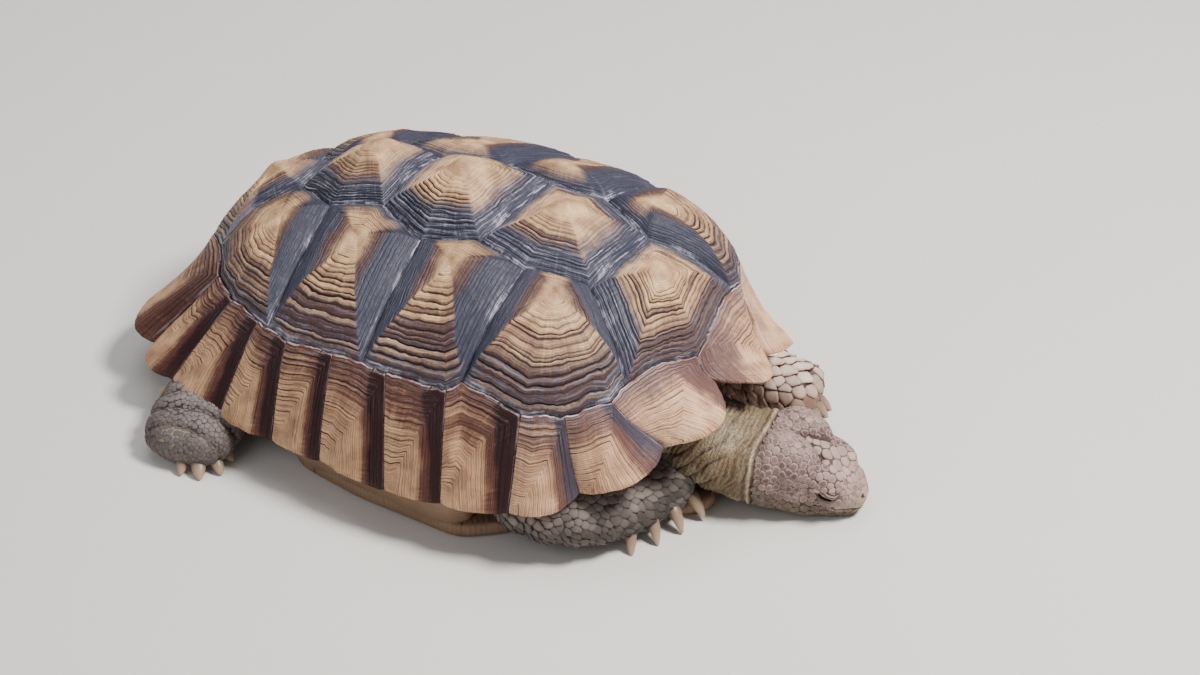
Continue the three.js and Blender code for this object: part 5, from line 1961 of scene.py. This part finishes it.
@dataclass
class Plastron:
    """The flat belly shield, with bridges that rise to the rim and the seams of its scutes.

    Point (r, k) of either face: r * outline point k, the edge rounded by a quarter ellipse.
    """

    outline: tuple = (
        (232, 16), (222, 34), (196, 46), (150, 88), (118, 132), (92, 156), (0, 161), (-58, 156), (-92, 126),
        (-130, 92), (-180, 76), (-212, 50), (-214, 22))
    fork: float = 218.0
    notch: float = -196.0
    thick: float = 13.0
    bevel: float = 5.0
    seams: tuple = (186.0, 118.0, 74.0, -62.0, -140.0)
    # a bridge: places along the flank and how far it is drawn in there; its section in y and z
    bridge: tuple = ((94, 14), (84, 4), (60, 0), (10, 0), (-40, 0), (-60, 4), (-72, 14))
    section: tuple = (
        (124, 8), (140, 2.5), (154, 2), (158, 8), (163, 26), (167, 48), (158, 52), (150, 50), (130, 18))

    def seam_gap(self, plan: Array) -> Array:
        """Distance of plan points to the nearest seam between the scutes of the belly."""
        x, y = plan[..., 0], plan[..., 1]
        drift = 2.5 * Grain(61, 30.0).at(plan) + 0.8 * Grain(62, 7.0).at(plan)
        gaps = [np.abs(y + drift * 0.8)]
        gaps += [np.abs(x - place - 0.12 * np.abs(y) + drift) for place in self.seams]
        return np.minimum.reduce(gaps)

    def build(self) -> None:
        """Builds the shield and the two bridges."""
        half = np.array(self.outline, dtype=float)
        ring = np.concatenate([half, [(self.notch, 0)], (half * (1, -1))[::-1], [(self.fork, 0)], half[:1]])
        line = blur_ring(along_line(ring, np.linspace(0, 1, 360, endpoint=False)), 2.0)
        middle = np.array([5.0, 0.0])
        r = np.concatenate([np.linspace(0.06, 0.9, 46), np.linspace(0.915, 0.97, 6)])[:, None, None]
        plan = middle + r * (line - middle)
        low = 0.7 * bell(self.seam_gap(plan), 0.0, 1.4) + 0.12 + 0.1 * Grain(63, 20.0).at(plan)
        low[-4:] = np.maximum(low[-4:], 0.1)
        turn = np.linspace(0.15, 1, 7)[:, None] * math.pi / 2
        edge = line + unit(middle - line) * self.bevel * (1 - np.sin(turn))[..., None]
        inner = middle + np.array([0.985, 0.6, 0.2])[:, None, None] * (line - middle)
        runs = ((plan, low), (edge, self.bevel * (1 - np.cos(turn)) + 0.1), (line[None], self.thick - 1.0),
                (inner, self.thick))
        points = np.concatenate([
            np.concatenate([at, np.broadcast_to(z, at.shape[:-1])[..., None]], axis=-1) for at, z in runs])
        surface = Surface()
        n = surface.add(points, seam=self.seam_gap(points[..., :2]))
        surface.grid(n, closed=True)
        plain = np.array([[9.0]])  # far from any seam
        for row, z in ((n[0], 0.3), (n[-1][::-1], self.thick)):
            surface.cap(row, np.array([[*middle, z]]), seam=plain)
        for _, sign in SIDES:
            self.add_bridge(surface, sign, plain)
        make_piece("belly_shield", surface, PlastronHorn().make(), "plastron_horn", ("plastron",))

    def add_bridge(self, surface: Surface, sign: int, plain: Array) -> None:
        """Adds a bridge: a rounded section carried along the flank, drawn in at both ends."""
        stations = smooth_path(np.array(self.bridge, dtype=float), 5)
        section = np.array(self.section + self.section[:1])
        loop = blur_ring(along_line(section, np.linspace(0, 1, 28, endpoint=False)), 0.7)
        y = loop[:, 0] - stations[:, 1:] * smooth_step(128, 160, loop[:, 0])
        x, z = np.broadcast_to(stations[:, :1], y.shape), np.broadcast_to(loop[:, 1], y.shape)
        points = np.stack([x, y * sign, z], axis=-1)
        n = surface.add(points, seam=np.abs(z - 30))
        surface.grid(n[:, ::-sign], closed=True)
        for row, order in ((0, -sign), (-1, sign)):
            surface.cap(n[row][::order], points[row].mean(axis=0)[None], seam=plain)


# ---------------------------------------------------------------- studio


@dataclass(frozen=True)
class Studio:
    """Pale floor, soft lights and the camera."""

    azimuth: float = 35.3
    elevation: float = 35.4
    distance: float = 2.8
    target: Three = (0.082, 0.0, 0.21)
    aim: tuple[float, float] = (0.0252, -0.0968)  # right of and above the target, at the picture's middle
    lens: float = 113.2
    floor: float = 14.0
    shell: Three = (0.0, 0.0, 0.08)

    def put(self, name: str, data: bpy.types.ID, at: Vector, aim: Vector) -> bpy.types.Object:
        """Puts a camera or a lamp into the scene.

        Args:
            name: Name of the object.
            data: The camera or the lamp.
            at: Where it hangs, in metres.
            aim: The point that it faces.

        Returns:
            The object.
        """
        item = bpy.data.objects.new(name, data)
        item.location = at
        item.rotation_euler = (aim - at).to_track_quat("-Z", "Y").to_euler()
        bpy.context.scene.collection.objects.link(item)
        return item

    def camera(self) -> None:
        """Sets the camera: out along azimuth and elevation from the target, turned to the aim point."""
        az, el = math.radians(self.azimuth), math.radians(self.elevation)
        back = Vector((math.sin(az) * math.cos(el), -math.cos(az) * math.cos(el), math.sin(el)))
        right = Vector((math.cos(az), math.sin(az), 0.0))
        aim = Vector(self.target) + right * self.aim[0] + back.cross(right) * self.aim[1]
        data = bpy.data.cameras.new("Camera")
        data.lens = self.lens
        data.sensor_width = 36.0
        bpy.context.scene.camera = self.put("Camera", data, Vector(self.target) + back * self.distance, aim)

    def light(self, name: str, place: Three, size: float, power: float, tint: Three) -> None:
        """Hangs a square soft light that faces the shell."""
        data = bpy.data.lights.new(name, "AREA")
        data.shape = "SQUARE"
        data.size = size
        data.energy = power
        data.color = tint
        self.put(name, data, Vector(place), Vector(self.shell))

    def build(self) -> None:
        """Builds the floor, the world's grey, the lights and the camera."""
        mesh = bpy.data.meshes.new("floor")
        h = self.floor / 2
        mesh.from_pydata([(-h, -h, 0), (h, -h, 0), (h, h, 0), (-h, h, 0)], [], [(0, 1, 2, 3)])
        mesh.materials.append(PaperFloor().make())
        floor = bpy.data.objects.new("floor", mesh)
        bpy.context.scene.collection.objects.link(floor)
        world = bpy.data.worlds.new("Soft_grey")
        world.use_nodes = True
        sky = world.node_tree.nodes["Background"]
        sky.inputs[0].default_value = (0.97, 0.97, 1.0, 1.0)
        sky.inputs[1].default_value = 0.28
        bpy.context.scene.world = world
        self.light("Key", (1.1, 0.35, 1.9), 0.55, 86.0, (1.0, 0.97, 0.93))
        self.light("Fill", (-0.6, -1.9, 1.3), 1.8, 13.0, (0.96, 0.97, 1.0))
        self.light("Top", (-0.5, 0.3, 2.2), 1.4, 18.0, (1.0, 1.0, 1.0))
        self.camera()


def main() -> None:
    """Builds the tortoise and its studio, and notes the sizes."""
    logging.basicConfig(level=logging.INFO, format="%(name)s: %(message)s")
    Studio().build()
    Carapace().build()
    Rim().build()
    Plastron().build()
    flesh = Flesh()
    skin = Skin(flesh)
    skin.build()
    ScaleCoat(skin).build()
    Feet(flesh).build()
    glass, lid = EyeGlass().make(), LID_SKIN.make()
    for side, sign in SIDES:
        Eye(side, sign, flesh.eye).build(glass, lid)


if __name__ == "__main__":
    main()
